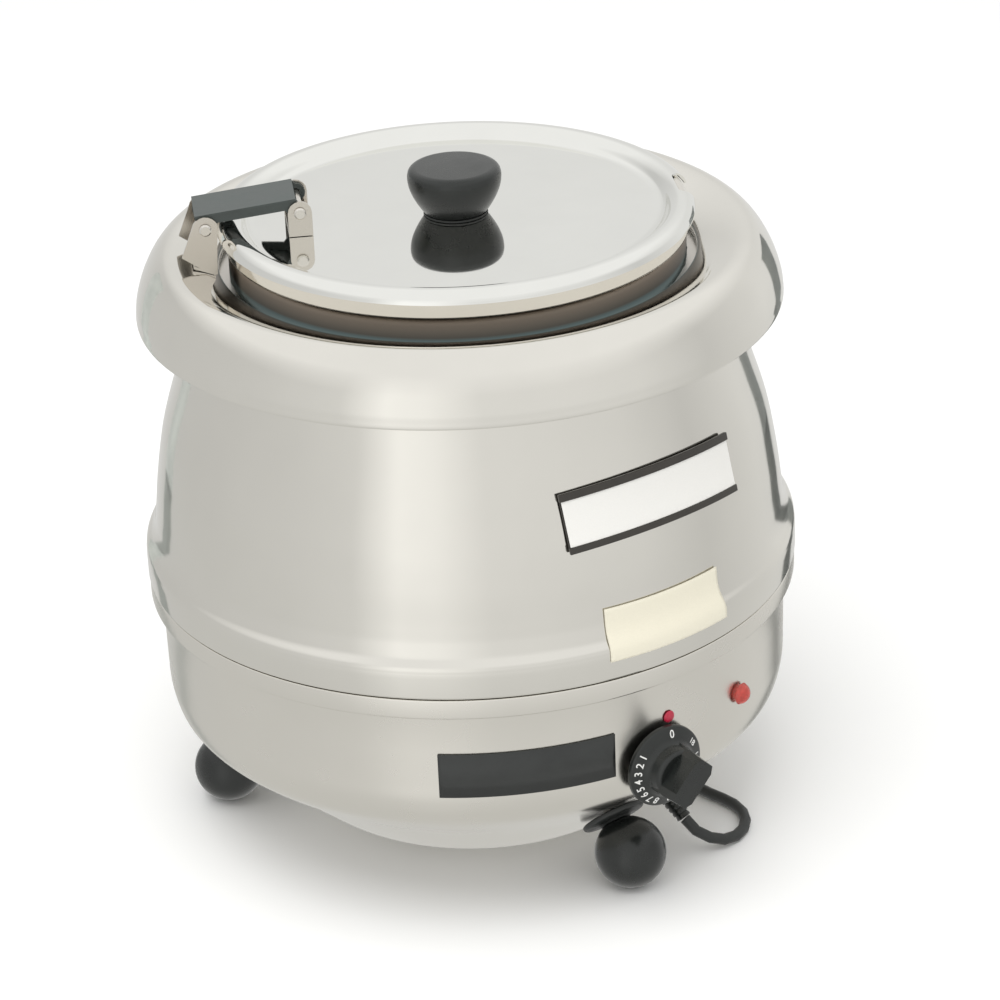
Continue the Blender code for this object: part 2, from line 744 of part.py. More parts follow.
def lid_bracket(frame, joint):
    """A U standing on the lid: a base plate, two round-topped arms and a web on the inner side."""
    r, z = INNER_PIN
    top = arc((r, z), 6.0, 0, 180, 8)
    floor = LID_TOP + 0.3
    outline = top + [(r - 6.0, floor), (r + 6.0, floor)]
    half = EAR_INSIDE + EAR_THICKNESS / 2
    low, high = (r - 5.7, -half, floor + 0.2), (r + 5.7, half, floor + 1.5)
    base = hang_on(box("lid_bracket", low, high, plain_steel()), joint)
    web = put_in(box("lid_bracket_web", (r - 5.5, -half, floor + 0.8), (r - 4.2, half, LID_TOP + 8.0)), frame)
    ears, hole = ear_plate("lid_bracket", outline, INNER_PIN, EAR_INSIDE, None, frame)
    for extra in (web, *ears):
        cut(base, extra, "UNION")
    cut(base, hole)
    for number, side in enumerate((-1, 1), 1):
        spot = (LID_RIVET_RADIUS, side * RIVET_SIDE)
        hole = rod(f"base_rivet_hole_{number}", RIVET_HOLE, (*spot, 322), (*spot, 336), steps=12)
        cut(base, put_in(hole, frame))
    return base


def hinge_link(joint):
    """An inverted channel whose two sides end in a lug round each pin."""
    reach = (Vector(OUTER_PIN) - Vector(INNER_PIN)).length
    rise = atan2(INNER_PIN[1] - OUTER_PIN[1], OUTER_PIN[0] - INNER_PIN[0])
    tilt = empty("link_line", (0, 0, 0), (0, rise, 0), joint)
    bottom = LINK_TOP - LINK_SIDE
    inner = arc((-reach, 0), 5.0, 95, 325, 8)
    outer = arc((0, 0), 5.0, 215, 385, 6)
    crown = [(4.0, LINK_TOP - 0.2), (-46.7, LINK_TOP - 0.2)]
    outline = crown + inner + [(-40.5, bottom), (-6.5, bottom)] + outer
    half = LINK_WIDTH / 2
    top = box("hinge_link", (-46.9, -half, LINK_TOP - LINK_WALL), (4.2, half, LINK_TOP), grey_link())
    top.parent = tilt
    for side in (-1, 1):
        cheek = outline_plate("link_cheek", outline, LINK_WALL, None)
        cheek.parent = tilt
        cheek.rotation_euler = (pi / 2, 0, 0)
        cheek.location = (0, side * (half - LINK_WALL / 2 - 0.1) * MM, 0)
        cut(top, make_mesh(cheek), "UNION")
    for number, spot in enumerate((0, -reach), 1):
        hole = rod(f"link_pin_hole_{number}", PIN_HOLE, (spot, -25, 0), (spot, 25, 0))
        hole.parent = tilt
        cut(top, hole)
    return top


def hinge_pin(name, holder):
    """A headed pin across the hinge, riveted over at both ends, with its middle on its holder."""
    head = EAR_INSIDE + EAR_THICKNESS + 0.3
    half = [(0, head + 1.6), (2.4, head + 1.6), (PIN_HEAD, head + 0.9), (PIN_HEAD, head), (PIN_RADIUS, head)]
    side = half + [(radius, -height) for radius, height in reversed(half)]
    pin = turned_solid(name, side, plain_steel(), SMALL_STEPS)
    return put_in(pin, holder, (0, 0, 0), (-pi / 2, 0, 0))


def rivets(name, radius, top, bottom, frame, joint=None):
    """Two rivets with a head above one sheet and a clenched end below the other."""
    side = [(0, top + 1.3), (1.8, top + 1.1), (2.7, top), (1.6, top), (1.6, bottom), (2.7, bottom),
            (2.2, bottom - 1.2), (0, bottom - 1.2)]
    for number, across in enumerate((-1, 1), 1):
        rivet = turned_solid(f"{name}_{number}", side, plain_steel(), 12)
        put_in(rivet, frame, (radius, across * RIVET_SIDE, 0))
        if joint:
            hang_on(rivet, joint)


def lid_knob(joint):
    """A mushroom knob with a blind hole for its screw, a washer under it and the screw itself."""
    side = [(0, 24.9), (20.4, 24.9), (22.0, 24.1), (23.3, 22.4), (23.75, 19.6), (23.2, 15.2), (21.3, 10.0),
            (18.6, 5.2), (16.4, 2.2), (16.0, 1.6), (3.1, 1.6), (3.1, 14.0), (0, 14.0)]
    knob = turned_solid("lid_knob", side, black_plastic(), 24)
    washer_side = [(16.4, 1.3), (16.4, 0.3), (3.1, 0.3), (3.1, 1.3)]
    washer = turned_ring("lid_knob_washer", washer_side, black_rubber(), 24)
    screw_side = [(0, 13.0), (2.5, 13.0), (2.5, -1.35), (4.6, -1.35), (4.2, -3.6), (0, -4.0)]
    screw = turned_solid("lid_knob_screw", screw_side, plain_steel(), 12)
    for item in (knob, washer, screw):
        item.parent = joint
        item.location = Vector((0, 0, LID_TOP * MM)) - joint.location


# ---------------------------------------------------------------- mains cord

def place_gland(item):
    """The gland's own +Z points out of the bowl's slope."""
    item.location = outward(GLAND_AZIMUTH, *GLAND_SPOT)
    item.rotation_euler = (radians(135), 0.0, GLAND_AZIMUTH)
    return item


def cord_gland():
    side = [(0, GLAND_TIP), (4.0, GLAND_TIP), (5.4, 4.2), (8.6, 3.8), (8.6, 0.6), (GLAND_NECK, 0.6),
            (GLAND_NECK, -9), (0, -9)]
    place_gland(turned_solid("cord_gland", side, black_plastic(), 20))
    nut = turned_ring("gland_nut", [(10, -1.8), (10, -6), (6.4, -6), (6.4, -1.8)], black_plastic(), 12)
    place_gland(nut)


def smooth_route(points, count):
    """Points at even steps along a Catmull-Rom curve through the route's own points."""
    spots = [Vector(p) for p in points]
    padded = [2 * spots[0] - spots[1]] + spots + [2 * spots[-1] - spots[-2]]
    fine = []
    for a, b, c, d in zip(padded, padded[1:], padded[2:], padded[3:]):
        for i in range(20):
            t = i / 20
            fine.append(0.5 * (2 * b + (c - a) * t + (2 * a - 5 * b + 4 * c - d) * t * t
                               + (3 * b - a - 3 * c + d) * t ** 3))
    fine.append(spots[-1])
    lengths = [0.0]
    for near, far in zip(fine, fine[1:]):
        lengths.append(lengths[-1] + (far - near).length)
    result = []
    step = 0
    for i in range(count + 1):
        want = lengths[-1] * i / count
        while step < len(fine) - 2 and lengths[step + 1] < want:
            step += 1
        span = lengths[step + 1] - lengths[step]
        result.append(fine[step].lerp(fine[step + 1], (want - lengths[step]) / span))
    return result


def power_cord():
    curve = bpy.data.curves.new("power_cord", "CURVE")
    curve.dimensions = "3D"
    curve.bevel_depth = CORD_DIAMETER * 0.5 * MM
    curve.bevel_resolution = 1
    curve.use_fill_caps = True
    curve.resolution_u = 1
    curve.render_resolution_u = 0
    points = smooth_route(CORD_ROUTE, CORD_POINTS)
    line = curve.splines.new("POLY")
    line.points.add(len(points) - 1)
    for spot, place in zip(line.points, points):
        spot.co = (*(place * MM), 1.0)
    return add_object("power_cord", curve, black_rubber())


def cord_coil():
    """The outer shape of the coiled length: a ring that the turns fill."""
    side = [(COIL_INNER, COIL_HEIGHT), (COIL_OUTER, COIL_HEIGHT), (COIL_OUTER, 0.1), (COIL_INNER, 0.1)]
    ring = turned_ring("cord_coil", side, black_rubber(), 28)
    ring.location = (COIL_CENTRE[0] * MM, COIL_CENTRE[1] * MM, 0)


def power_plug():
    """A straight moulded plug with two flat blades and a round earth pin."""
    x, y, z = PLUG_START
    relief = rod("power_plug", 4.2, (x, y, z), (x + 24, y, 13.0), black_plastic(), 16, far_radius=6.5)
    body = box("plug_body", (x + 22, y - 12.5, 1.0), (x + 54, y + 12.5, 25.0))
    cut(relief, body, "UNION")
    for side in (-1, 1):
        low, high = (x + 50, y + side * 6.35 - 0.8, 12.5), (x + 70, y + side * 6.35 + 0.8, 18.8)
        cut(relief, box("plug_blade", low, high), "UNION")
    cut(relief, rod("plug_earth_pin", 2.4, (x + 50, y, 6.0), (x + 72, y, 6.0), steps=12), "UNION")


# ---------------------------------------------------------------- the kettle

def build():
    global PARTS, CUTTERS
    clear_scene()
    PARTS = new_collection("soup_kettle")
    CUTTERS = new_collection("cutters")

    frame = hinge_frame()
    pin_frame = empty("pin_frame", (OUTER_PIN[0] * MM, 0, OUTER_PIN[1] * MM), parent=frame)
    link_joint = empty("link_joint", (OUTER_PIN[0] * MM, 0, OUTER_PIN[1] * MM), parent=frame)
    lid_joint = empty("lid_joint", (INNER_PIN[0] * MM, 0, INNER_PIN[1] * MM), parent=frame)
    dial_axis = face_out(empty("dial_axis", (0, 0, 0)), 0.0, DIAL_BACK, DIAL_HEIGHT)

    base_bowl()
    base_cover()
    cover_screws()
    barrel()
    collar()
    well_support_ring()
    well_liner()
    inner_pot()
    insulation_blanket()

    heating_element()
    element_clamp()
    clamp_stud()
    thermostat_body()
    thermostat_screws()
    sensing_bulb()
    thermal_cutout()
    terminal_block()
    pilot_lamp()
    index_dot()

    thermostat_knob(dial_axis)
    thermostat_shaft(dial_axis)

    label_holder()
    label_card()
    front_sticker()
    caution_plate()

    ball_feet()
    foot_seats()
    foot_bolts()

    collar_bracket(frame)
    rivets("collar_rivet", RIVET_RADIUS, 318.6, 311.9, frame)
    hinge_pin("collar_pin", pin_frame)
    hinge_link(link_joint)
    lid(frame, lid_joint)
    lid_bracket(frame, lid_joint)
    rivets("lid_rivet", LID_RIVET_RADIUS, 331.7, 328.3, frame, lid_joint)
    hinge_pin("lid_pin", lid_joint)
    lid_knob(lid_joint)

    cord_gland()
    power_cord()
    cord_coil()
    power_plug()

    bpy.context.view_layer.update()
    for item in PARTS.objects:
        smooth(item)


if __name__ == "__main__":
    build()
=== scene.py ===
"""Looks for the electric soup kettle: fine pieces, materials, cord, floor, light and camera.

Metres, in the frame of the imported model: +Z up, z = 0 under the feet, the dial faces -Y.
An azimuth is measured about Z from the dial, positive towards +X. Profiles are in millimetres.
"""
import json
from math import acos, atan2, cos, degrees, pi, radians, sin, tau

import bmesh
import bpy
from mathutils import Matrix, Vector

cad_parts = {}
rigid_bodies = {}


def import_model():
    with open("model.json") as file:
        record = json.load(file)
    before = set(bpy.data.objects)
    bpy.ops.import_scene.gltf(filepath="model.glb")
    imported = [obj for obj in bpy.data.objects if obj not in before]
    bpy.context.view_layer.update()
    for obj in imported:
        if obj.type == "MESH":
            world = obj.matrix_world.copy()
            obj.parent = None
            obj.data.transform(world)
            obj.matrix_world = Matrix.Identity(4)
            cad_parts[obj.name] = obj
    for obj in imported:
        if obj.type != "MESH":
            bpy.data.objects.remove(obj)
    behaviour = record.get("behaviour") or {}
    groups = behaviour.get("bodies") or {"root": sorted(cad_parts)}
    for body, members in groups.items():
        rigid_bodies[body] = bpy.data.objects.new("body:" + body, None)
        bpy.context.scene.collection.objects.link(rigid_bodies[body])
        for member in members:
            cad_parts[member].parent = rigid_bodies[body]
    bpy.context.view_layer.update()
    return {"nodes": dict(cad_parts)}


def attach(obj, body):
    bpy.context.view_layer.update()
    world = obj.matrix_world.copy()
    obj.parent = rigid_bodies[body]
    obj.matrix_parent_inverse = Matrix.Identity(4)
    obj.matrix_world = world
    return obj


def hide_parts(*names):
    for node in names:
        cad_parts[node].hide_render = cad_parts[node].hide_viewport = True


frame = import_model()

MM = 0.001
STEPS = 160                       # facets round the large turned pieces
SHEET = 1.0                       # thickness of the steel shells

HINGE_AZIMUTH = radians(-117)
LID_TOP = 329.6
NOTCH_WIDTH = 26.0                # the ladle notch in the lid's edge
NOTCH_INNER = 112.3
NOTCH_CORNER = 4.0
GRIP_TURN = radians(44)           # the dial's grip leans this far from upright, towards +X
GRIP_TAPER = 0.92                 # the grip's tip against its foot
DIAL_HEIGHT = 84.0
DIAL_BACK = 166.3                 # radius of the dial's back face
SKIRT_SLOPE = (2.0, 5.1)          # fall and run of the dial's skirt under its figures
FIGURE_SPOT = (18.0, 4.06)        # radius and height of the figures in the dial's frame
FIGURE_SIZES = (5.6, 4.4)         # one figure, two figures
LAMP_SPOT = (radians(21), 163.8, 98.4)             # azimuth, radius and height
DOT_SPOT = (radians(2.1), 164.25, 108.1)
BALL_RADIUS = 18.5
BALL_HEIGHT = 18.25               # centre of the ball, so the ball stands on a small flat
BOLT_HOLE = 4.4                   # radius of the hole in each ball
FOOT_CIRCLE = 136.5
FOOT_LEAN = radians(45)
FOOT_AZIMUTHS = (radians(0), radians(120), radians(-120))
LABEL_AZIMUTH = radians(3.2)
LABEL_MIDDLE = (156.0, 227.6)     # radius and height, as for the gland
LABEL_LEAN = radians(16.5)        # the wall behind the label leans back this far
LABEL_BEND = 160.0                # radius of the label's bend
LABEL_STEPS = 48
STICKER_SPAN = (radians(-10.4), radians(24.8))     # first azimuth, then how far round it goes
PLATE_SPAN = (radians(-40.5), radians(31.4))
GLAND_AZIMUTH = radians(18)
GLAND_SPOT = (120.0, 33.0)
GLAND_PITCH = radians(135)        # the cord leaves outwards and downwards
GLAND_TIP = 20.0                  # how far its sleeve stands out

BRUSH_MARKS = (6.0, 1400.0)       # scale of the steel's fine marks, round the axis and up it
NECK_SHADE_BAND = (0.306, 0.324)        # metres: the heights between which the painted shade on the well's wall changes

CAMERA_AZIMUTH = radians(-33.433)
CAMERA_HEIGHT = radians(26.087)
CAMERA_DISTANCE = 1.8844
CAMERA_TARGET = (0.00404, -0.02287, 0.175)
CAMERA_ROLL = radians(-2.472)
CAMERA_LENS = 130.67

CORD_DIAMETER = 0.006
CORD_ROUTE = [(41.58, -127.98, 18.43), (42.76, -131.61, 14.61), (46.60, -135.01, 10.90),
              (52.27, -138.21, 7.20), (59.51, -139.43, 4.60), (67.50, -138.21, 3.35),
              (75.20, -134.33, 3.05), (81.44, -127.68, 3.05), (85.47, -118.70, 3.05),
              (85.98, -109.28, 3.05), (84.15, -100.41, 3.05), (81.90, -89.00, 3.05),
              (80.90, -72.00, 3.05), (81.00, -50.00, 3.05), (81.60, -28.00, 3.05),
              (82.30, 0.00, 3.05), (82.90, 30.00, 3.05), (83.30, 60.00, 3.05),
              (83.50, 95.00, 3.05), (83.60, 130.00, 3.05), (83.60, 165.00, 3.05)]
CORD_POINTS = 40
COIL_CENTRE = (124.0, 191.0)
COIL_OUTER = 40.4                 # centre line of the outermost turn
COIL_LIFT = 6.1                   # spacing of the turns
COIL_TURNS = 5.25
CORD_REST = 3.05                  # height of the cord's centre line on the floor
PLUG_START = (153.0, 229.0, 12.0)

# Brightness round the horizon, as (degrees from the camera's azimuth, value).
SURROUND = [(-180, 0.78), (-140, 0.62), (-100, 0.66), (-70, 0.70), (-42, 0.78), (-26, 1.12), (-12, 1.06),
            (6, 0.86), (34, 0.84), (62, 0.80), (92, 0.66), (130, 0.82), (180, 0.78)]
SKY = 0.96                        # brightness straight up
SKY_BAND = (0.30, 0.62)           # the ring turns into the sky between these; 1 is straight up
UNDER = 0.66                      # how bright steel sees what is straight below it
UNDER_BAND = (-0.10, -0.85)
FLOOR_TONE = (0.93, 0.93, 0.925)
BACKDROP = (0.95, 0.95, 0.945)    # what the camera sees behind the floor
# Cards beside the kettle that only its reflections show: azimuth, distance, half width, height and shade.
FLAGS = [(-163, 640, 55, 420, 0.52), (103, 700, 72, 330, 0.20)]
LIGHT_SPOT = (-0.5, -0.3, 1.9)    # metres, like the aim and the size; the power is in watts
LIGHT_AIM = (0, 0, 0.15)
LIGHT_SIZE = 1.6
LIGHT_POWER = 22.0

# The dial's figures and where each stands on it, in degrees.
DIAL_FIGURES = [("0", 80)]
DIAL_FIGURES += [(str(n), 144 + 14.5 * (n - 1)) for n in (1, 2, 3, 4, 5, 6, 7, 8, 10, 12, 14, 16, 18)]


# ---------------------------------------------------------------- material building

class Look:
    """A material's node tree, with short calls for the nodes that it is made of."""

    def __init__(self, name, colour, rough, metal=0.0, coat=0.0):
        self.material = bpy.data.materials.new(name)
        self.material.use_nodes = True
        self.nodes = self.material.node_tree.nodes
        self.links = self.material.node_tree.links
        self.shader = self.nodes["Principled BSDF"]
        self.set("Base Color", (*colour, 1.0))
        self.set("Roughness", rough)
        self.set("Metallic", metal)
        self.set("Coat Weight", coat)
        self.colour = colour
        self.rough = rough

    def set(self, socket, value):
        self.shader.inputs[socket].default_value = value

    def node(self, kind):
        return self.nodes.new(kind)

    def place(self, stretch=(1, 1, 1)):
        spot = self.node("ShaderNodeTexCoord")
        scaled = self.node("ShaderNodeMapping")
        scaled.inputs["Scale"].default_value = stretch
        self.links.new(spot.outputs["Object"], scaled.inputs["Vector"])
        return scaled.outputs["Vector"]

    def around(self, turns, height):
        """Coordinates that run round the kettle's axis and up it."""
        spot = self.node("ShaderNodeTexCoord")
        parts = self.node("ShaderNodeSeparateXYZ")
        self.links.new(spot.outputs["Object"], parts.inputs[0])
        angle = self.math("ARCTAN2", parts.outputs["X"], parts.outputs["Y"])
        joined = self.node("ShaderNodeCombineXYZ")
        self.links.new(self.math("MULTIPLY", angle, turns), joined.inputs["X"])
        self.links.new(self.math("MULTIPLY", parts.outputs["Z"], height), joined.inputs["Y"])
        return joined.outputs["Vector"]

    def math(self, operation, first, second=None):
        made = self.node("ShaderNodeMath")
        made.operation = operation
        for socket, value in zip(made.inputs, (first, second)):
            if value is None:
                continue
            if isinstance(value, (int, float)):
                socket.default_value = value
            else:
                self.links.new(value, socket)
        return made.outputs[0]

    def noise(self, vector, scale, detail=4.0, rough=0.6):
        made = self.node("ShaderNodeTexNoise")
        made.inputs["Scale"].default_value = scale
        made.inputs["Detail"].default_value = detail
        made.inputs["Roughness"].default_value = rough
        self.links.new(vector, made.inputs["Vector"])
        return made.outputs["Fac"]

    def ramp(self, value, stops):
        made = self.node("ShaderNodeValToRGB")
        line = made.color_ramp
        while len(line.elements) < len(stops):
            line.elements.new(0.5)
        for element, (at, colour) in zip(line.elements, stops):
            element.position = at
            element.color = (*colour, 1.0)
        self.links.new(value, made.inputs["Fac"])
        return made.outputs["Color"]

    def spread(self, value, low, high):
        made = self.node("ShaderNodeMapRange")
        made.inputs["From Min"].default_value = 0.3
        made.inputs["From Max"].default_value = 0.7
        made.inputs["To Min"].default_value = low
        made.inputs["To Max"].default_value = high
        self.links.new(value, made.inputs["Value"])
        return made.outputs[0]

    def bump(self, height, strength, distance):
        made = self.node("ShaderNodeBump")
        made.inputs["Strength"].default_value = strength
        made.inputs["Distance"].default_value = distance
        self.links.new(height, made.inputs["Height"])
        self.links.new(made.outputs["Normal"], self.shader.inputs["Normal"])

    def vary_colour(self, value, dark, light):
        low = tuple(c * dark for c in self.colour)
        high = tuple(min(1.0, c * light) for c in self.colour)
        self.links.new(self.ramp(value, [(0.3, low), (0.7, high)]), self.shader.inputs["Base Color"])

    def vary_rough(self, value, low, high):
        self.links.new(self.spread(value, low, high), self.shader.inputs["Roughness"])


def satin_look(name, colour, rough, brush=0.05, blotch=0.02):
    """Stainless steel sheet with fine marks that run round the axis and faint handling blotches."""
    look = Look(name, colour, rough, 1.0)
    marks = look.noise(look.around(*BRUSH_MARKS), 1.0, 6.0, 0.7)
    blotches = look.noise(look.place(), 14.0, 5.0, 0.6)
    look.vary_colour(blotches, 1.0 - blotch, 1.0 + blotch)
    look.vary_rough(blotches, rough * 0.86, rough * 1.16)
    look.bump(marks, brush, 0.00004)
    return look.material


def mirror_look(name, colour, rough):
    look = Look(name, colour, rough, 1.0)
    haze = look.noise(look.place(), 30.0, 4.0, 0.6)
    look.vary_rough(haze, rough * 0.6, rough * 1.6)
    look.vary_colour(haze, 0.985, 1.01)
    look.bump(look.noise(look.place(), 9.0, 2.0, 0.5), 0.04, 0.0004)
    return look.material


def plastic_look(name, colour, rough, coat=0.3, grain=1500.0, depth=0.12):
    """Moulded plastic: fine grain, soft cloudiness and a thin gloss."""
    look = Look(name, colour, rough, 0.0, coat)
    look.set("Coat Roughness", 0.12)
    clouds = look.noise(look.place(), 70.0, 4.0, 0.65)
    look.vary_colour(clouds, 0.82, 1.25)
    look.vary_rough(clouds, rough * 0.75, rough * 1.25)
    look.bump(look.noise(look.place(), grain, 3.0, 0.6), depth, 0.00006)
    return look.material


def neck_look():
    """The well wall seen between the pot and the collar, coloured with painted shade of the gap: lighter near
    the pot's rim, darkest lower down, and a grey-green band at the foot.
    """
    look = Look("neck_painted_shade", (0.2, 0.17, 0.14), 0.3, 1.0)
    spot = look.node("ShaderNodeTexCoord")
    parts = look.node("ShaderNodeSeparateXYZ")
    look.links.new(spot.outputs["Object"], parts.inputs[0])
    level = look.node("ShaderNodeMapRange")
    level.inputs["From Min"].default_value = NECK_SHADE_BAND[0]
    level.inputs["From Max"].default_value = NECK_SHADE_BAND[1]
    look.links.new(parts.outputs["Z"], level.inputs["Value"])
    # Painted shade of the gap: lightest at the top near the pot's rim, darkest lower down, then a grey-green
    # band at the foot.
    shade_bands = look.ramp(level.outputs[0], [(0.0, (0.16, 0.20, 0.20)), (0.18, (0.09, 0.12, 0.12)),
                                         (0.26, (0.08, 0.075, 0.065)), (0.6, (0.16, 0.135, 0.11)),
                                         (1.0, (0.36, 0.30, 0.24))])
    look.links.new(shade_bands, look.shader.inputs["Base Color"])
    look.bump(look.noise(look.around(*BRUSH_MARKS), 1.0, 5.0, 0.7), 0.1, 0.00005)
    return look.material


def rubber_look():
    look = Look("cord_rubber", (0.022, 0.024, 0.023), 0.5)
    clouds = look.noise(look.place(), 240.0, 4.0, 0.6)
    look.vary_colour(clouds, 0.8, 1.35)
    look.vary_rough(clouds, 0.42, 0.6)
    look.bump(look.noise(look.place(), 2600.0, 3.0, 0.6), 0.15, 0.00005)
    return look.material


def card_look(name, colour, rough, fleck):
    """Card or vinyl: a fibrous or slightly mottled pale sheet."""
    look = Look(name, colour, rough)
    fibres = look.noise(look.place((1, 1, 3)), 900.0, 5.0, 0.7)
    look.vary_colour(fibres, 1.0 - fleck, 1.0 + fleck * 0.5)
    look.vary_rough(fibres, rough * 0.85, rough * 1.1)
    look.bump(fibres, 0.1, 0.00003)
    return look.material


def lamp_look():
    look = Look("lamp_red", (0.50, 0.045, 0.03), 0.16, 0.0, 0.6)
    look.set("Subsurface Weight", 0.25)
    look.set("Subsurface Radius", (0.004, 0.0008, 0.0006))
    ribs = look.noise(look.place(), 420.0, 3.0, 0.6)
    look.vary_colour(ribs, 0.8, 1.25)
    look.vary_rough(ribs, 0.12, 0.22)
    return look.material


def dot_look():
    look = Look("dot_red", (0.46, 0.012, 0.045), 0.35, 0.0, 0.3)
    look.vary_colour(look.noise(look.place(), 500.0, 3.0, 0.6), 0.85, 1.15)
    return look.material


def fibre_look():
    look = Look("glass_wool", (0.75, 0.70, 0.45), 0.95)
    strands = look.noise(look.place((1, 1, 6)), 160.0, 6.0, 0.75)
    look.vary_colour(strands, 0.7, 1.2)
    look.bump(strands, 0.6, 0.001)
    return look.material


def ink_look():
    look = Look("dial_ink", (0.82, 0.82, 0.80), 0.5)
    look.vary_colour(look.noise(look.place(), 1200.0, 3.0, 0.6), 0.9, 1.05)
    return look.material


# ---------------------------------------------------------------- mesh building

def as_piece(name, mesh, look, body, nodes):
    item = bpy.data.objects.new(name, mesh)
    bpy.context.scene.collection.objects.link(item)
    item.data.materials.append(look)
    item["ride_on"] = body
    if nodes:
        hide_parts(*nodes)
    return item


def soften(item, angle=40):
    item.data.shade_smooth()
    item.data.set_sharp_from_angle(angle=radians(angle))


def rounded(points, radius, segments=4):
    """A run of (radius, height) points with its inner corners rounded, no corner by more than radius."""
    spots = [Vector(p) for p in points]
    out = [spots[0]]
    for before, at, after in zip(spots, spots[1:], spots[2:]):
        back, on = before - at, after - at
        reach = min(radius, back.length * 0.45, on.length * 0.45)
        start, end = at + back.normalized() * reach, at + on.normalized() * reach
        for i in range(segments + 1):
            t = i / segments
            out.append(start * (1 - t) ** 2 + at * 2 * t * (1 - t) + end * t * t)
    out.append(spots[-1])
    return [tuple(p) for p in out]


def flowing(points, count=6):
    """A Catmull-Rom curve through points of any dimension."""
    spots = [Vector(p) for p in points]
    padded = [2 * spots[0] - spots[1]] + spots + [2 * spots[-1] - spots[-2]]
    out = []
    for a, b, c, d in zip(padded, padded[1:], padded[2:], padded[3:]):
        for i in range(count):
            t = i / count
            out.append(0.5 * (2 * b + (c - a) * t + (2 * a - 5 * b + 4 * c - d) * t * t
                              + (3 * b - a - 3 * c + d) * t ** 3))
    out.append(spots[-1])
    return out


def turned_mesh(name, side, steps=STEPS, closed=False, start=0.0, sweep=tau):
    """A profile, in millimetres, turned about Z. Its outer side runs downwards."""
    shape = bmesh.new()
    whole = abs(sweep - tau) < 1e-6
    rings = steps if whole else steps + 1
    grid = []
    for j in range(rings):
        angle = start + sweep * j / steps
        grid.append([shape.verts.new((r * MM * cos(angle), r * MM * sin(angle), z * MM)) for r, z in side])
    spans = len(side) if closed else len(side) - 1
    for j in range(steps):
        here, there = grid[j], grid[(j + 1) % rings]
        for i in range(spans):
            k = (i + 1) % len(side)
            shape.faces.new((here[i], here[k], there[k], there[i]))
    bmesh.ops.remove_doubles(shape, verts=shape.verts, dist=1e-7)
    degenerate = [f for f in shape.faces if f.calc_area() < 1e-14]
    bmesh.ops.delete(shape, geom=degenerate, context="FACES")
    mesh = bpy.data.meshes.new(name)
    shape.to_mesh(mesh)
    shape.free()
    return mesh


def sheet_modifier(item, thickness=SHEET):
    wall = item.modifiers.new("Sheet", "SOLIDIFY")
    wall.thickness = thickness * MM
    wall.offset = -1.0
    wall.use_even_offset = True


def bevel_modifier(item, width, segments=3, angle=35):
    edge = item.modifiers.new("Edges", "BEVEL")
    edge.width = width * MM
    edge.segments = segments
    edge.limit_method = "ANGLE"
    edge.angle_limit = radians(angle)
    edge.harden_normals = False


def boolean(item, other, operation):
    step = item.modifiers.new(operation.title(), "BOOLEAN")
    step.operation = operation
    step.solver = "EXACT"
    step.object = other
    bpy.context.view_layer.update()
    graph = bpy.context.evaluated_depsgraph_get()
    result = bpy.data.meshes.new_from_object(item.evaluated_get(graph))
    item.modifiers.clear()
    item.data = result
    bpy.data.objects.remove(other, do_unlink=True)


def loose(name, mesh):
    item = bpy.data.objects.new(name, mesh)
    bpy.context.scene.collection.objects.link(item)
    return item


def block_mesh(name, low, high, place=Matrix.Identity(4)):
    shape = bmesh.new()
    size = [(b - a) * MM for a, b in zip(low, high)]
    centre = Vector([(a + b) / 2 * MM for a, b in zip(low, high)])
    scaled = place @ Matrix.Translation(centre) @ Matrix.Diagonal((*size, 1.0))
    bmesh.ops.create_cube(shape, size=1.0, matrix=scaled)
    mesh = bpy.data.meshes.new(name)
    shape.to_mesh(mesh)
    shape.free()
    return mesh


def plate_mesh(name, outline, low, high, place=Matrix.Identity(4)):
    """A flat outline in millimetres, in a frame's XY plane, between two heights."""
    shape = bmesh.new()
    verts = [shape.verts.new((x * MM, y * MM, low * MM)) for x, y in outline]
    face = shape.faces.new(verts)
    grown = bmesh.ops.extrude_face_region(shape, geom=[face])
    lift = [v for v in grown["geom"] if isinstance(v, bmesh.types.BMVert)]
    bmesh.ops.translate(shape, verts=lift, vec=(0, 0, (high - low) * MM))
    bmesh.ops.recalc_face_normals(shape, faces=shape.faces)
    shape.transform(place)
    mesh = bpy.data.meshes.new(name)
    shape.to_mesh(mesh)
    shape.free()
    return mesh


def wall_frame(azimuth, radius, height, lean=0.0):
    """+Z away from the kettle's axis, +Y up the wall, which leans back by lean."""
    spot = Vector((radius * sin(azimuth), -radius * cos(azimuth), height)) * MM
    turn = Matrix.Rotation(azimuth, 4, "Z") @ Matrix.Rotation(pi / 2 - lean, 4, "X")
    return Matrix.Translation(spot) @ turn


def foot_frame(azimuth):
    spot = Vector((FOOT_CIRCLE * sin(azimuth), -FOOT_CIRCLE * cos(azimuth), BALL_HEIGHT)) * MM
    turn = Matrix.Rotation(azimuth, 4, "Z") @ Matrix.Rotation(-FOOT_LEAN, 4, "X")
    return Matrix.Translation(spot) @ turn


def gland_frame():
    radius, height = GLAND_SPOT
    spot = Vector((radius * sin(GLAND_AZIMUTH), -radius * cos(GLAND_AZIMUTH), height)) * MM
    turn = Matrix.Rotation(GLAND_AZIMUTH, 4, "Z") @ Matrix.Rotation(GLAND_PITCH, 4, "X")
    return Matrix.Translation(spot) @ turn


# +X of this frame points from the kettle's axis to the lid's hinge. The ladle notch is opposite.
HINGE = Matrix.Rotation(HINGE_AZIMUTH - pi / 2, 4, "Z")


def arc(centre, radius, start, end, count):
    angles = [radians(start + (end - start) * i / count) for i in range(count + 1)]
    return [(centre[0] + radius * cos(a), centre[1] + radius * sin(a)) for a in angles]


def placed(mesh, matrix):
    mesh.transform(matrix)
    return mesh


# ---------------------------------------------------------------- looks

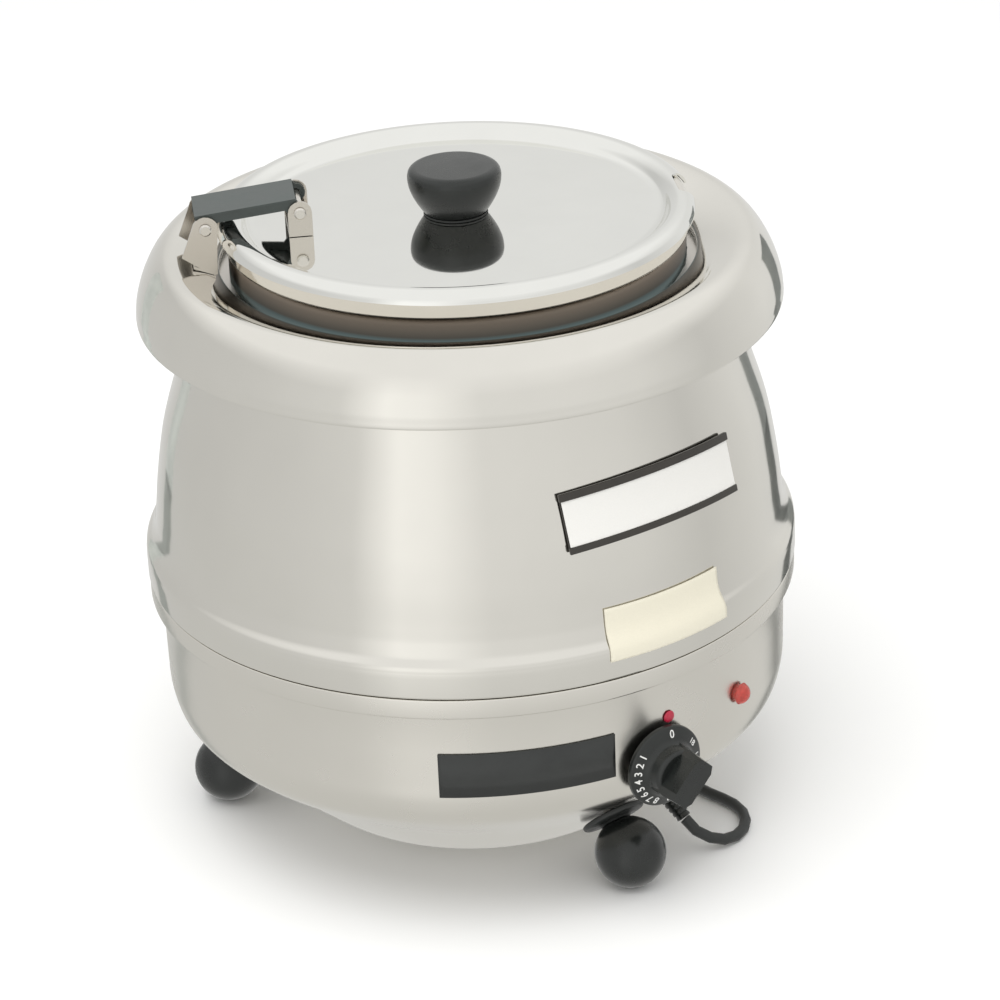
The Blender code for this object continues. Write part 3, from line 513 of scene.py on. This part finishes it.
STEEL = satin_look("satin_steel_look", (0.80, 0.775, 0.72), 0.25)
COLLAR_STEEL = satin_look("collar_steel_look", (0.80, 0.78, 0.73), 0.075)
BARREL_STEEL = satin_look("barrel_steel_look", (0.78, 0.76, 0.71), 0.10)
POT_STEEL = satin_look("pot_steel_look", (0.84, 0.81, 0.75), 0.12)
LID_STEEL = mirror_look("lid_steel_look", (0.86, 0.86, 0.83), 0.035)
PLAIN_STEEL = satin_look("plain_steel_look", (0.62, 0.59, 0.55), 0.28)
PLASTIC = plastic_look("black_plastic_look", (0.010, 0.012, 0.011), 0.30, 0.15)
LINK_PAINT = plastic_look("link_paint_look", (0.045, 0.055, 0.052), 0.40, 0.2)
HOLDER_PLASTIC = plastic_look("holder_plastic_look", (0.030, 0.026, 0.021), 0.42, 0.1)
RUBBER = rubber_look()
# The well wall's colour is painted shade of the gap between the pot and the collar.
NECK_SHADE = neck_look()
CARD = card_look("card_look", (0.80, 0.79, 0.76), 0.55, 0.03)
VINYL = card_look("vinyl_look", (0.77, 0.73, 0.60), 0.45, 0.04)
PLATE = plastic_look("plate_look", (0.022, 0.024, 0.023), 0.4, 0.1)
LAMP = lamp_look()
DOT = dot_look()
WOOL = fibre_look()
COPPER = satin_look("copper_look", (0.85, 0.45, 0.30), 0.3)
BRASS = satin_look("plug_pin_look", (0.80, 0.66, 0.36), 0.25)
BRACKET_STEEL = satin_look("bracket_steel_look", (0.70, 0.66, 0.60), 0.24)
PIN_STEEL = satin_look("pin_steel_look", (0.78, 0.75, 0.70), 0.2)
INK = ink_look()


# ---------------------------------------------------------------- body shells

def make_bowl():
    wall = [(165.4, 155), (165.4, 142.2), (169.5, 141.9), (169.5, 131.6), (164.1, 130.3), (163.7, 110)]
    curve = flowing([(163.5, 92), (163.0, 80), (159.6, 68.5), (150.6, 59), (131, 43.6), (114, 28.6),
                     (105, 20.5), (94.5, 12.2), (80, 8)])
    side = rounded(wall, 0.8, 3) + [tuple(p) for p in curve] + [(66, 8)]
    bowl = as_piece("base_bowl_skin", turned_mesh("base_bowl_skin", side), STEEL, "kettle", ["base_bowl"])
    sheet_modifier(bowl)
    soften(bowl)


def make_barrel():
    curve = flowing([(131.5, 300.5), (136, 287), (142, 267), (148.6, 247), (156.2, 222), (160.8, 197),
                     (163.2, 178), (164.4, 169.5), (166.4, 163.6), (169.3, 159.4), (169.95, 156)], 8)
    side = [(119.5, 303), (129, 303)] + [tuple(p) for p in curve]
    side += rounded([(170, 154), (170, 143.4), (169.4, 142.55), (166.6, 142.5)], 0.6, 3)
    item = as_piece("barrel_skin", turned_mesh("barrel_skin", side), BARREL_STEEL, "kettle", ["barrel"])
    sheet_modifier(item, 0.8)
    soften(item, 55)


def make_collar():
    lip = [(121.2, 305.5), (121.2, 309.5)]
    curve = flowing([(121.6, 310.6), (123.6, 312.0), (130, 314.6), (138, 317.0), (145.6, 318.1),
                     (150.9, 316.6), (156.2, 311.0), (161.0, 302.0), (163.9, 293.0), (164.7, 287.0)], 8)
    hem = rounded([(164.8, 286.0), (164.75, 284.6), (160, 284.6), (152, 284.9)], 0.7, 3)
    side = lip + [tuple(p) for p in curve] + hem
    item = as_piece("collar_skin", turned_mesh("collar_skin", side), COLLAR_STEEL, "kettle", ["collar"])
    sheet_modifier(item)
    soften(item)


def make_pot():
    corner = arc((101.5, 84), 10, -90, 0, 8)
    rim = arc((114.55, 330.75), 3.05, 180, 0, 16)
    side = [(0, 74)] + corner + rim + [(117.6, 322.2), (117.5, 321.4)]
    item = as_piece("inner_pot_skin", turned_mesh("inner_pot_skin", side), POT_STEEL, "kettle",
                    ["inner_pot"])
    sheet_modifier(item)
    soften(item)


def make_liner():
    side = [(116, 331.8), (116, 72)] + arc((106, 72), 10, 0, -90, 6) + [(0, 62)]
    item = as_piece("well_liner_skin", turned_mesh("well_liner_skin", side), NECK_SHADE, "kettle",
                    ["well_liner"])
    sheet_modifier(item)
    soften(item)


def make_lid():
    crown = flowing([(103.5, 329.6), (105.6, 330.4), (108.2, 333.3), (111.2, 335.2), (114.3, 335.5),
                     (117.3, 334.9), (119.6, 332.9), (120.7, 330.9), (121, 329.7)], 5)
    side = [(2.9, 329.6), (60, 329.6), (101, 329.6)] + [tuple(p) for p in crown]
    item = as_piece("lid_skin", turned_mesh("lid_skin", side, 192), LID_STEEL, "lid", ["lid"])
    sheet_modifier(item)
    half = NOTCH_WIDTH / 2
    outline = [(-140, -half), (-140, half)]
    inner, side_y = -NOTCH_INNER - NOTCH_CORNER, half - NOTCH_CORNER
    outline += arc((inner, side_y), NOTCH_CORNER, 90, 0, 5)
    outline += arc((inner, -side_y), NOTCH_CORNER, 0, -90, 5)
    cutter = loose("notch_cutter", plate_mesh("notch_cutter", outline, 318, 350, HINGE))
    boolean(item, cutter, "DIFFERENCE")
    soften(item)


# ---------------------------------------------------------------- knobs, lamp and feet

def make_lid_knob():
    top = rounded([(0, 24.9), (20.0, 24.9), (21.7, 24.3), (22.7, 23.4)], 1.2, 3)
    curve = flowing([(23.3, 22.4), (23.75, 19.8), (23.3, 15.6), (22.0, 11.6), (20.2, 7.9), (18.2, 4.6),
                     (16.8, 2.6), (16.2, 1.8)], 6)
    side = top + [tuple(p) for p in curve] + [(15.8, 1.6), (3.1, 1.6), (3.1, 14.0), (0, 14.0)]
    mesh = placed(turned_mesh("lid_knob_skin", side, 96), Matrix.Translation((0, 0, LID_TOP * MM)))
    soften(as_piece("lid_knob_skin", mesh, PLASTIC, "lid", ["lid_knob"]))


def dial_digit(text, angle, size, centre, number):
    """A white figure lying on the dial's skirt, its foot towards the dial's middle."""
    curve = bpy.data.curves.new(f"dial_figure_{number}", "FONT")
    curve.body = text
    curve.size = size * MM
    curve.align_x = "CENTER"
    curve.align_y = "CENTER"
    curve.extrude = 0.03 * MM
    curve.offset = 0.06 * MM
    item = bpy.data.objects.new(f"dial_figure_{number}", curve)
    bpy.context.scene.collection.objects.link(item)
    item.data.materials.append(INK)
    reach, height = FIGURE_SPOT
    radial = Matrix.Rotation(angle - pi / 2, 4, "Z")
    slope = Matrix.Rotation(-atan2(*SKIRT_SLOPE), 4, "X")
    local = radial @ Matrix.Translation((0, reach * MM, height * MM)) @ slope
    item.matrix_world = centre @ local
    item["ride_on"] = "dial"


def make_dial():
    axis = wall_frame(0.0, DIAL_BACK, DIAL_HEIGHT)
    side = rounded([(0, 14.0), (11.6, 14.0), (12.9, 12.6), (13.5, 7.0), (15.5, 5.0), (20.6, 3.0), (21.7, 2.4),
                    (21.8, 0.2), (21.4, 0), (19.8, 0)], 0.9, 3)
    side += [(19.4, 1.4), (7.5, 1.4), (7.5, -1.2), (0, -1.2)]
    knob = as_piece("dial_skin", turned_mesh("dial_skin", side, 96), PLASTIC, "dial", ["thermostat_knob"])
    outline = [(-4.6, -13.6), (4.6, -13.6), (7.2, -9.5), (7.2, 9.5), (4.6, 13.6), (-4.6, 13.6), (-7.2, 9.5),
               (-7.2, -9.5)]
    foot, tip = 4.0, 25.5
    grip = loose("dial_grip", plate_mesh("dial_grip", outline, foot, tip))
    for vert in grip.data.vertices:
        if vert.co.z > (foot + tip) / 2 * MM:
            vert.co.x *= GRIP_TAPER
            vert.co.y *= GRIP_TAPER
    grip.data.transform(Matrix.Rotation(-GRIP_TURN, 4, "Z"))
    boolean(knob, grip, "UNION")
    knob.data.transform(axis)
    soften(knob, 32)
    bevel_modifier(knob, 0.5, 2, 40)
    for number, (text, at) in enumerate(DIAL_FIGURES, 1):
        dial_digit(text, radians(at), FIGURE_SIZES[len(text) - 1], axis, number)


def make_lamp():
    place = wall_frame(*LAMP_SPOT)
    side = [(0, 5.9)] + arc((0, 0.2), 5.75, 80, 20, 8) + [(5.75, 1.5), (0, 1.5)]
    mesh = placed(turned_mesh("pilot_lamp_lens_skin", side, 48), place)
    lens = as_piece("pilot_lamp_lens_skin", mesh, LAMP, "kettle", ["pilot_lamp_lens"])
    soften(lens)
    dot_place = wall_frame(*DOT_SPOT)
    dot_side = [(0, 1.0)] + rounded([(1.2, 0.98), (2.5, 0.8), (3.1, 0.4), (3.25, 0.05)], 0.8, 3) + [(0, 0)]
    dot = as_piece("index_dot_skin", placed(turned_mesh("index_dot_skin", dot_side, 40), dot_place), DOT,
                   "kettle", ["index_dot"])
    soften(dot)


def make_feet():
    mouth = degrees(acos(BOLT_HOLE / BALL_RADIUS))
    ball_side = [(0, -3), (BOLT_HOLE, -3)] + arc((0, 0), BALL_RADIUS, mouth, -90, 40)
    ball_side[-1] = (0, -BALL_RADIUS)
    cup = arc((0, 0), BALL_RADIUS + 0.4, 64.9, 75.5, 6)
    flange = rounded([(16.0, 21.7), (17.0, 21.2), (17.0, 19.8), (16.2, 18.8), (9.8, 18.4), (8.8, 18.0),
                      (8.2, 17.3)], 0.9, 3)
    seat_side = [(4.6, 21.7)] + flange + cup
    for number, azimuth in enumerate(FOOT_AZIMUTHS, 1):
        place = foot_frame(azimuth)
        ball = placed(turned_mesh(f"ball_foot_skin_{number}", ball_side, 72), place)
        for vert in ball.vertices:
            vert.co.z = max(vert.co.z, 0.0)
        piece = as_piece(f"ball_foot_skin_{number}", ball, PLASTIC, "kettle", [f"ball_foot_{number}"])
        soften(piece)
        seat = placed(turned_mesh(f"foot_seat_skin_{number}", seat_side, 64, closed=True), place)
        cushion = as_piece(f"foot_seat_skin_{number}", seat, RUBBER, "kettle", [f"foot_seat_{number}"])
        soften(cushion)


# ---------------------------------------------------------------- labels

def wrap_mesh(name, width, low, high, back, front):
    """A strip on the leaning wall, bent about an axis parallel to it, between two depths."""
    shape = bmesh.new()
    half = width * 0.5 / LABEL_BEND
    rings = []
    for i in range(LABEL_STEPS + 1):
        a = -half + 2 * half * i / LABEL_STEPS
        ring = []
        for height, depth in ((low, back), (low, front), (high, back), (high, front)):
            reach = LABEL_BEND + depth
            spot = (reach * sin(a) * MM, height * MM, (reach * cos(a) - LABEL_BEND) * MM)
            ring.append(shape.verts.new(spot))
        rings.append(ring)
    for here, there in zip(rings, rings[1:]):
        for one, two in ((1, 3), (2, 0), (0, 1), (3, 2)):
            shape.faces.new((here[one], there[one], there[two], here[two]))
    for ring, order in ((rings[0], (0, 1, 3, 2)), (rings[-1], (1, 0, 2, 3))):
        shape.faces.new([ring[k] for k in order])
    bmesh.ops.recalc_face_normals(shape, faces=shape.faces)
    shape.transform(wall_frame(LABEL_AZIMUTH, *LABEL_MIDDLE, LABEL_LEAN))
    mesh = bpy.data.meshes.new(name)
    shape.to_mesh(mesh)
    shape.free()
    return mesh


def make_label():
    parts = [("label_back", -12.0, 12.0, 0.0, 0.7), ("label_top_rail", 11.4, 15.3, 0.0, 2.2),
             ("label_bottom_rail", -15.0, -11.6, 0.0, 2.0)]
    backs = [as_piece(name, wrap_mesh(name, 107, low, high, back, front), HOLDER_PLASTIC, "kettle", []) for name, low, high, back, front in parts]
    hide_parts("label_holder")
    for item in backs[1:]:
        item.parent = backs[0]
    for item in backs:
        soften(item)
        bevel_modifier(item, 0.35, 2)
    mesh = wrap_mesh("label_card_skin", 105.4, -11.5, 11.3, 1.1, 1.45)
    card = as_piece("label_card_skin", mesh, CARD, "kettle", ["label_card"])
    soften(card)


def make_sticker():
    side = [(164.2, 179.0), (164.9, 171.5), (166.4, 165.9), (169.6, 160.4), (170.5, 156.8), (170.6, 152.8)]
    curve = [tuple(p) for p in flowing(side, 4)]
    start, sweep = STICKER_SPAN
    mesh = turned_mesh("front_sticker_skin", curve, 40, start=start - pi / 2, sweep=sweep)
    item = as_piece("front_sticker_skin", mesh, VINYL, "kettle", ["front_sticker"])
    sheet_modifier(item, 0.4)
    soften(item)


def make_plate():
    start, sweep = PLATE_SPAN
    side = [(164.5, 108.7), (164.3, 84.3)]
    mesh = turned_mesh("caution_plate_skin", side, 48, start=start - pi / 2, sweep=sweep)
    item = as_piece("caution_plate_skin", mesh, PLATE, "kettle", ["caution_plate"])
    sheet_modifier(item, 0.5)
    soften(item)


# ---------------------------------------------------------------- mains cord

def even(points, count):
    """The same line through count equal steps."""
    lengths = [0.0]
    for near, far in zip(points, points[1:]):
        lengths.append(lengths[-1] + (far - near).length)
    out, step = [], 0
    for i in range(count + 1):
        want = lengths[-1] * i / count
        while step < len(points) - 2 and lengths[step + 1] < want:
            step += 1
        share = (want - lengths[step]) / (lengths[step + 1] - lengths[step])
        out.append(points[step].lerp(points[step + 1], share))
    return out


def coil_points(turns):
    """Three turns inwards on the floor, then the rest outwards on top of them."""
    out = []
    count = int(turns * 36)
    for i in range(count + 1):
        t = turns * i / count
        if t < 3:
            step = int(t)
            shift = ramp(t - step, 0.72, 1.0) if step < 2 else 0.0
            radius = COIL_OUTER - COIL_LIFT * (step + shift)
            climb = ramp(t, 2.7, 3.0)
        else:
            step = int(t) - 3
            shift = ramp(t - 3 - step, 0.72, 1.0)
            radius = COIL_OUTER - COIL_LIFT * (2 - step - shift)
            climb = 1.0
        angle = pi - tau * t
        out.append(Vector((COIL_CENTRE[0] + radius * cos(angle), COIL_CENTRE[1] + radius * sin(angle),
                           CORD_REST + COIL_LIFT * climb)))
    return out


def ramp(value, low, high):
    """0 below low, 1 above high, and a smooth rise between."""
    t = min(1.0, max(0.0, (value - low) / (high - low)))
    return t * t * (3 - 2 * t)


def make_cord():
    """One curve from the gland along the floor, round the coil and into the plug."""
    route = even(flowing(CORD_ROUTE, 20), CORD_POINTS)
    coil = coil_points(COIL_TURNS)
    start = Vector(PLUG_START)
    last, heading = coil[-1], (coil[-1] - coil[-2]).normalized()
    a, b, c, d = last, last + heading * 10, start - Vector((10, 0, 0)), start + Vector((0.5, 0, 0))
    lead = []
    for i in range(1, 7):
        t = i / 6
        lead.append(a * (1 - t) ** 3 + b * 3 * t * (1 - t) ** 2 + c * 3 * t * t * (1 - t) + d * t ** 3)
    approach = [route[-1].lerp(coil[0], t) for t in (0.34, 0.67)]
    points = route + approach + coil + lead
    curve = bpy.data.curves.new("mains_cord", "CURVE")
    curve.dimensions = "3D"
    curve.bevel_depth = CORD_DIAMETER / 2
    curve.bevel_resolution = 4
    curve.use_fill_caps = True
    line = curve.splines.new("POLY")
    line.points.add(len(points) - 1)
    for spot, place in zip(line.points, points):
        spot.co = (*(place * MM), 1.0)
    line.use_smooth = True
    item = as_piece("mains_cord", curve, RUBBER, "kettle", ["power_cord", "cord_coil"])
    return item, [p * MM for p in points]


def make_gland():
    """The strain relief: a tapered sleeve with rings, on a flange against the bowl."""
    side = [(0, GLAND_TIP), (3.4, GLAND_TIP), (4.0, GLAND_TIP - 0.5)]
    for i in range(5):
        top = GLAND_TIP - 2.0 - i * 2.9
        grow = 0.32 * i
        side += [(3.7 + grow, top), (3.5 + grow, top - 0.7), (4.2 + grow, top - 1.0), (4.3 + grow, top - 2.5)]
    side += rounded([(5.4, 4.2), (8.2, 3.9), (8.6, 3.3), (8.6, 0.6), (6.0, 0.6)], 0.4, 3)
    side += [(6.0, -9), (0, -9)]
    mesh = placed(turned_mesh("cord_gland_skin", side, 48), gland_frame())
    item = as_piece("cord_gland_skin", mesh, PLASTIC, "kettle", ["cord_gland"])
    soften(item, 50)


def make_plug():
    """A moulded plug with a ringed strain relief, grip ribs, two flat blades and a round earth pin."""
    x, y, z = PLUG_START
    side = [(0, 24.5), (6.4, 24.5)]
    for i in range(5):
        top = 22.5 - i * 4.2
        size = 6.3 - i * 0.45
        side += [(size, top), (size - 0.9, top - 0.6), (size - 1.0, top - 1.6), (size - 0.25, top - 2.2)]
    side += [(4.1, 0.4), (3.6, 0), (0, 0)]
    slope = Matrix.Rotation(pi / 2, 4, "Y")
    shear = Matrix.Identity(4)
    shear[2][0] = (13.0 - z) / 24.0
    relief_place = Matrix.Translation(Vector((x, y, z)) * MM) @ shear @ slope
    mesh = placed(turned_mesh("plug_relief", side, 40), relief_place)
    relief = as_piece("plug_relief", mesh, RUBBER, "kettle", ["power_plug"])
    soften(relief, 50)
    outline = [(22, -9.0), (26, -11.4), (36, -12.5), (54, -12.5), (54, 12.5), (36, 12.5), (26, 11.4),
               (22, 9.0)]
    place = Matrix.Translation(Vector((x, y, 0)) * MM)
    body = as_piece("plug_body", plate_mesh("plug_body", outline, 1.0, 25.0, place), PLASTIC, "kettle", [])
    for i in range(4):
        for inner_y, outer_y in ((-13.5, -11.9), (11.9, 13.5)):
            low, high = (33 + i * 4.5, inner_y, 0), (34.6 + i * 4.5, outer_y, 26)
            boolean(body, loose("rib", block_mesh("rib", low, high, place)), "DIFFERENCE")
    soften(body, 30)
    bevel_modifier(body, 1.0, 3, 40)
    blades = []
    for number, side_y in enumerate((-6.35, 6.35), 1):
        low, high = (50, side_y - 0.8, 12.5), (70, side_y + 0.8, 18.8)
        blade = as_piece(f"plug_blade_{number}", block_mesh("blade", low, high, place), BRASS, "kettle", [])
        bevel_modifier(blade, 0.5, 2)
        soften(blade)
        blades.append(blade)
    pin_side = rounded([(0, 22), (1.6, 22), (2.4, 20.6), (2.4, 0)], 0.8, 3) + [(0, 0)]
    pin_place = Matrix.Translation(Vector((x + 50, y, 6.0)) * MM) @ slope
    pin = as_piece("plug_earth_pin", placed(turned_mesh("plug_earth_pin", pin_side, 32), pin_place), BRASS,
                   "kettle", [])
    soften(pin)
    return [relief, body, *blades, pin]


# ---------------------------------------------------------------- CAD nodes that stay, and the studio

def finish_frame_nodes():
    """Materials for the CAD nodes that stay, with fine rounded edges on the hinge link and the two brackets.
    """
    looks = {"hinge_link": LINK_PAINT, "collar_bracket": BRACKET_STEEL, "lid_bracket": BRACKET_STEEL,
             "insulation_blanket": WOOL, "sensing_bulb": COPPER, "lid_knob_washer": RUBBER,
             "thermal_cutout": PLASTIC, "terminal_block": PLASTIC, "thermostat_body": PLASTIC,
             "gland_nut": PLASTIC, "pilot_lamp_body": LAMP, "base_cover": STEEL,
             "collar_pin": PIN_STEEL, "lid_pin": PIN_STEEL}
    for name, node in frame["nodes"].items():
        if node.hide_render:
            continue
        look = looks.get(name, PIN_STEEL if "rivet" in name else PLAIN_STEEL)
        node.data.materials.clear()
        node.data.materials.append(look)
        for face in node.data.polygons:
            face.material_index = 0
    for name, width in (("hinge_link", 0.5), ("collar_bracket", 0.3), ("lid_bracket", 0.3)):
        bevel_modifier(frame["nodes"][name], width, 3, 30)


def make_floor():
    floor = loose("studio_floor", block_mesh("floor", (-6000, -6000, -4), (6000, 6000, 0)))
    look = Look("floor_look", FLOOR_TONE, 0.75)
    look.vary_colour(look.noise(look.place(), 1.2, 2.0, 0.5), 0.99, 1.01)
    floor.data.materials.append(look.material)
    floor.visible_glossy = False


def make_cards():
    for number, (azimuth, reach, half, height, shade) in enumerate(FLAGS, 1):
        dark = Look(f"flag_look_{number}", (shade, shade * 1.06, shade * 1.04), 0.9)
        dark.vary_colour(dark.noise(dark.place(), 9.0, 3.0, 0.6), 0.85, 1.15)
        place = Matrix.Rotation(radians(azimuth), 4, "Z") @ Matrix.Translation((0, -reach * MM, 0))
        flag = loose(f"studio_flag_{number}", block_mesh("flag", (-half, 0, -500), (half, 4, height), place))
        flag.data.materials.append(dark.material)
        flag.visible_camera = False
        flag.visible_shadow = False
        flag.visible_diffuse = False
        flag.visible_transmission = False


class World:
    """The surround's node tree: a bright ring that changes round the horizon, a sky and a ground."""

    def __init__(self):
        world = bpy.data.worlds.new("studio_world")
        bpy.context.scene.world = world
        world.use_nodes = True
        self.nodes, self.links = world.node_tree.nodes, world.node_tree.links

    def share(self, value, low, high):
        made = self.nodes.new("ShaderNodeMapRange")
        made.inputs["From Min"].default_value = low
        made.inputs["From Max"].default_value = high
        self.links.new(value, made.inputs["Value"])
        return made.outputs[0]

    def mix(self, share, first, colour):
        made = self.nodes.new("ShaderNodeMix")
        made.data_type = "RGBA"
        made.inputs["B"].default_value = (*colour, 1.0)
        self.links.new(share, made.inputs["Factor"])
        self.links.new(first, made.inputs["A"])
        return made.outputs["Result"]

    def split(self, vector):
        made = self.nodes.new("ShaderNodeSeparateXYZ")
        self.links.new(vector, made.inputs[0])
        return made.outputs

    def bearing(self, direction):
        """How far round from the camera's azimuth a direction lies, 0 to 1."""
        turned = self.nodes.new("ShaderNodeVectorRotate")
        turned.rotation_type = "Z_AXIS"
        turned.inputs["Angle"].default_value = -CAMERA_AZIMUTH
        self.links.new(direction, turned.inputs["Vector"])
        flat = self.split(turned.outputs["Vector"])
        negative = self.nodes.new("ShaderNodeMath")
        negative.operation = "MULTIPLY"
        negative.inputs[1].default_value = -1.0
        self.links.new(flat["Y"], negative.inputs[0])
        angle = self.nodes.new("ShaderNodeMath")
        angle.operation = "ARCTAN2"
        self.links.new(flat["X"], angle.inputs[0])
        self.links.new(negative.outputs[0], angle.inputs[1])
        return self.share(angle.outputs[0], -pi, pi)

    def ring(self, share):
        made = self.nodes.new("ShaderNodeValToRGB")
        line = made.color_ramp
        while len(line.elements) < len(SURROUND):
            line.elements.new(0.5)
        for element, (at, value) in zip(line.elements, SURROUND):
            element.position = (at + 180) / 360
            element.color = (value, value, value * 0.985, 1.0)
        self.links.new(share, made.inputs["Fac"])
        return made.outputs["Color"]


def make_world():
    world = World()
    direction = world.nodes.new("ShaderNodeTexCoord").outputs["Generated"]
    height = world.split(direction)["Z"]
    ring = world.ring(world.bearing(direction))
    ground = world.mix(world.share(height, *UNDER_BAND), ring, (UNDER, UNDER, UNDER * 0.97))
    sky = world.mix(world.share(height, *SKY_BAND), ground, (SKY, SKY, SKY * 0.99))
    camera_ray = world.nodes.new("ShaderNodeLightPath").outputs["Is Camera Ray"]
    background = world.nodes["Background"]
    world.links.new(world.mix(camera_ray, sky, BACKDROP), background.inputs["Color"])
    background.inputs["Strength"].default_value = 1.0


def make_light():
    data = bpy.data.lights.new("overhead", "AREA")
    data.energy = LIGHT_POWER
    data.size = LIGHT_SIZE
    light = bpy.data.objects.new("overhead", data)
    light.location = LIGHT_SPOT
    light.visible_glossy = False
    light.rotation_euler = (Vector(LIGHT_AIM) - light.location).to_track_quat("-Z", "Y").to_euler()
    bpy.context.scene.collection.objects.link(light)


def studio():
    """A pale floor, a soft overhead light, a bright surround and two dark cards seen in the steel."""
    bpy.context.scene.view_settings.view_transform = "Standard"
    make_floor()
    make_cards()
    make_world()
    make_light()


def make_camera():
    data = bpy.data.cameras.new("camera")
    data.lens = CAMERA_LENS
    data.sensor_width = 36.0
    data.clip_start = 0.05
    data.clip_end = 50.0
    camera = bpy.data.objects.new("camera", data)
    back = Vector((sin(CAMERA_AZIMUTH) * cos(CAMERA_HEIGHT), -cos(CAMERA_AZIMUTH) * cos(CAMERA_HEIGHT),
                   sin(CAMERA_HEIGHT)))
    camera.location = Vector(CAMERA_TARGET) + back * CAMERA_DISTANCE
    turn = (-back).to_track_quat("-Z", "Y").to_matrix().to_4x4()
    camera.rotation_euler = (turn @ Matrix.Rotation(CAMERA_ROLL, 4, "Z")).to_euler()
    bpy.context.scene.collection.objects.link(camera)
    bpy.context.scene.camera = camera


# ---------------------------------------------------------------- the whole scene

make_camera()
cord, cord_line = make_cord()
plug = make_plug()
make_gland()
make_bowl()
make_barrel()
make_collar()
make_pot()
make_liner()
make_lid()
make_lid_knob()
make_dial()
make_lamp()
make_feet()
make_label()
make_sticker()
make_plate()
finish_frame_nodes()
studio()
for item in list(bpy.data.objects):
    if "ride_on" in item and item.parent is None:
        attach(item, item["ride_on"])
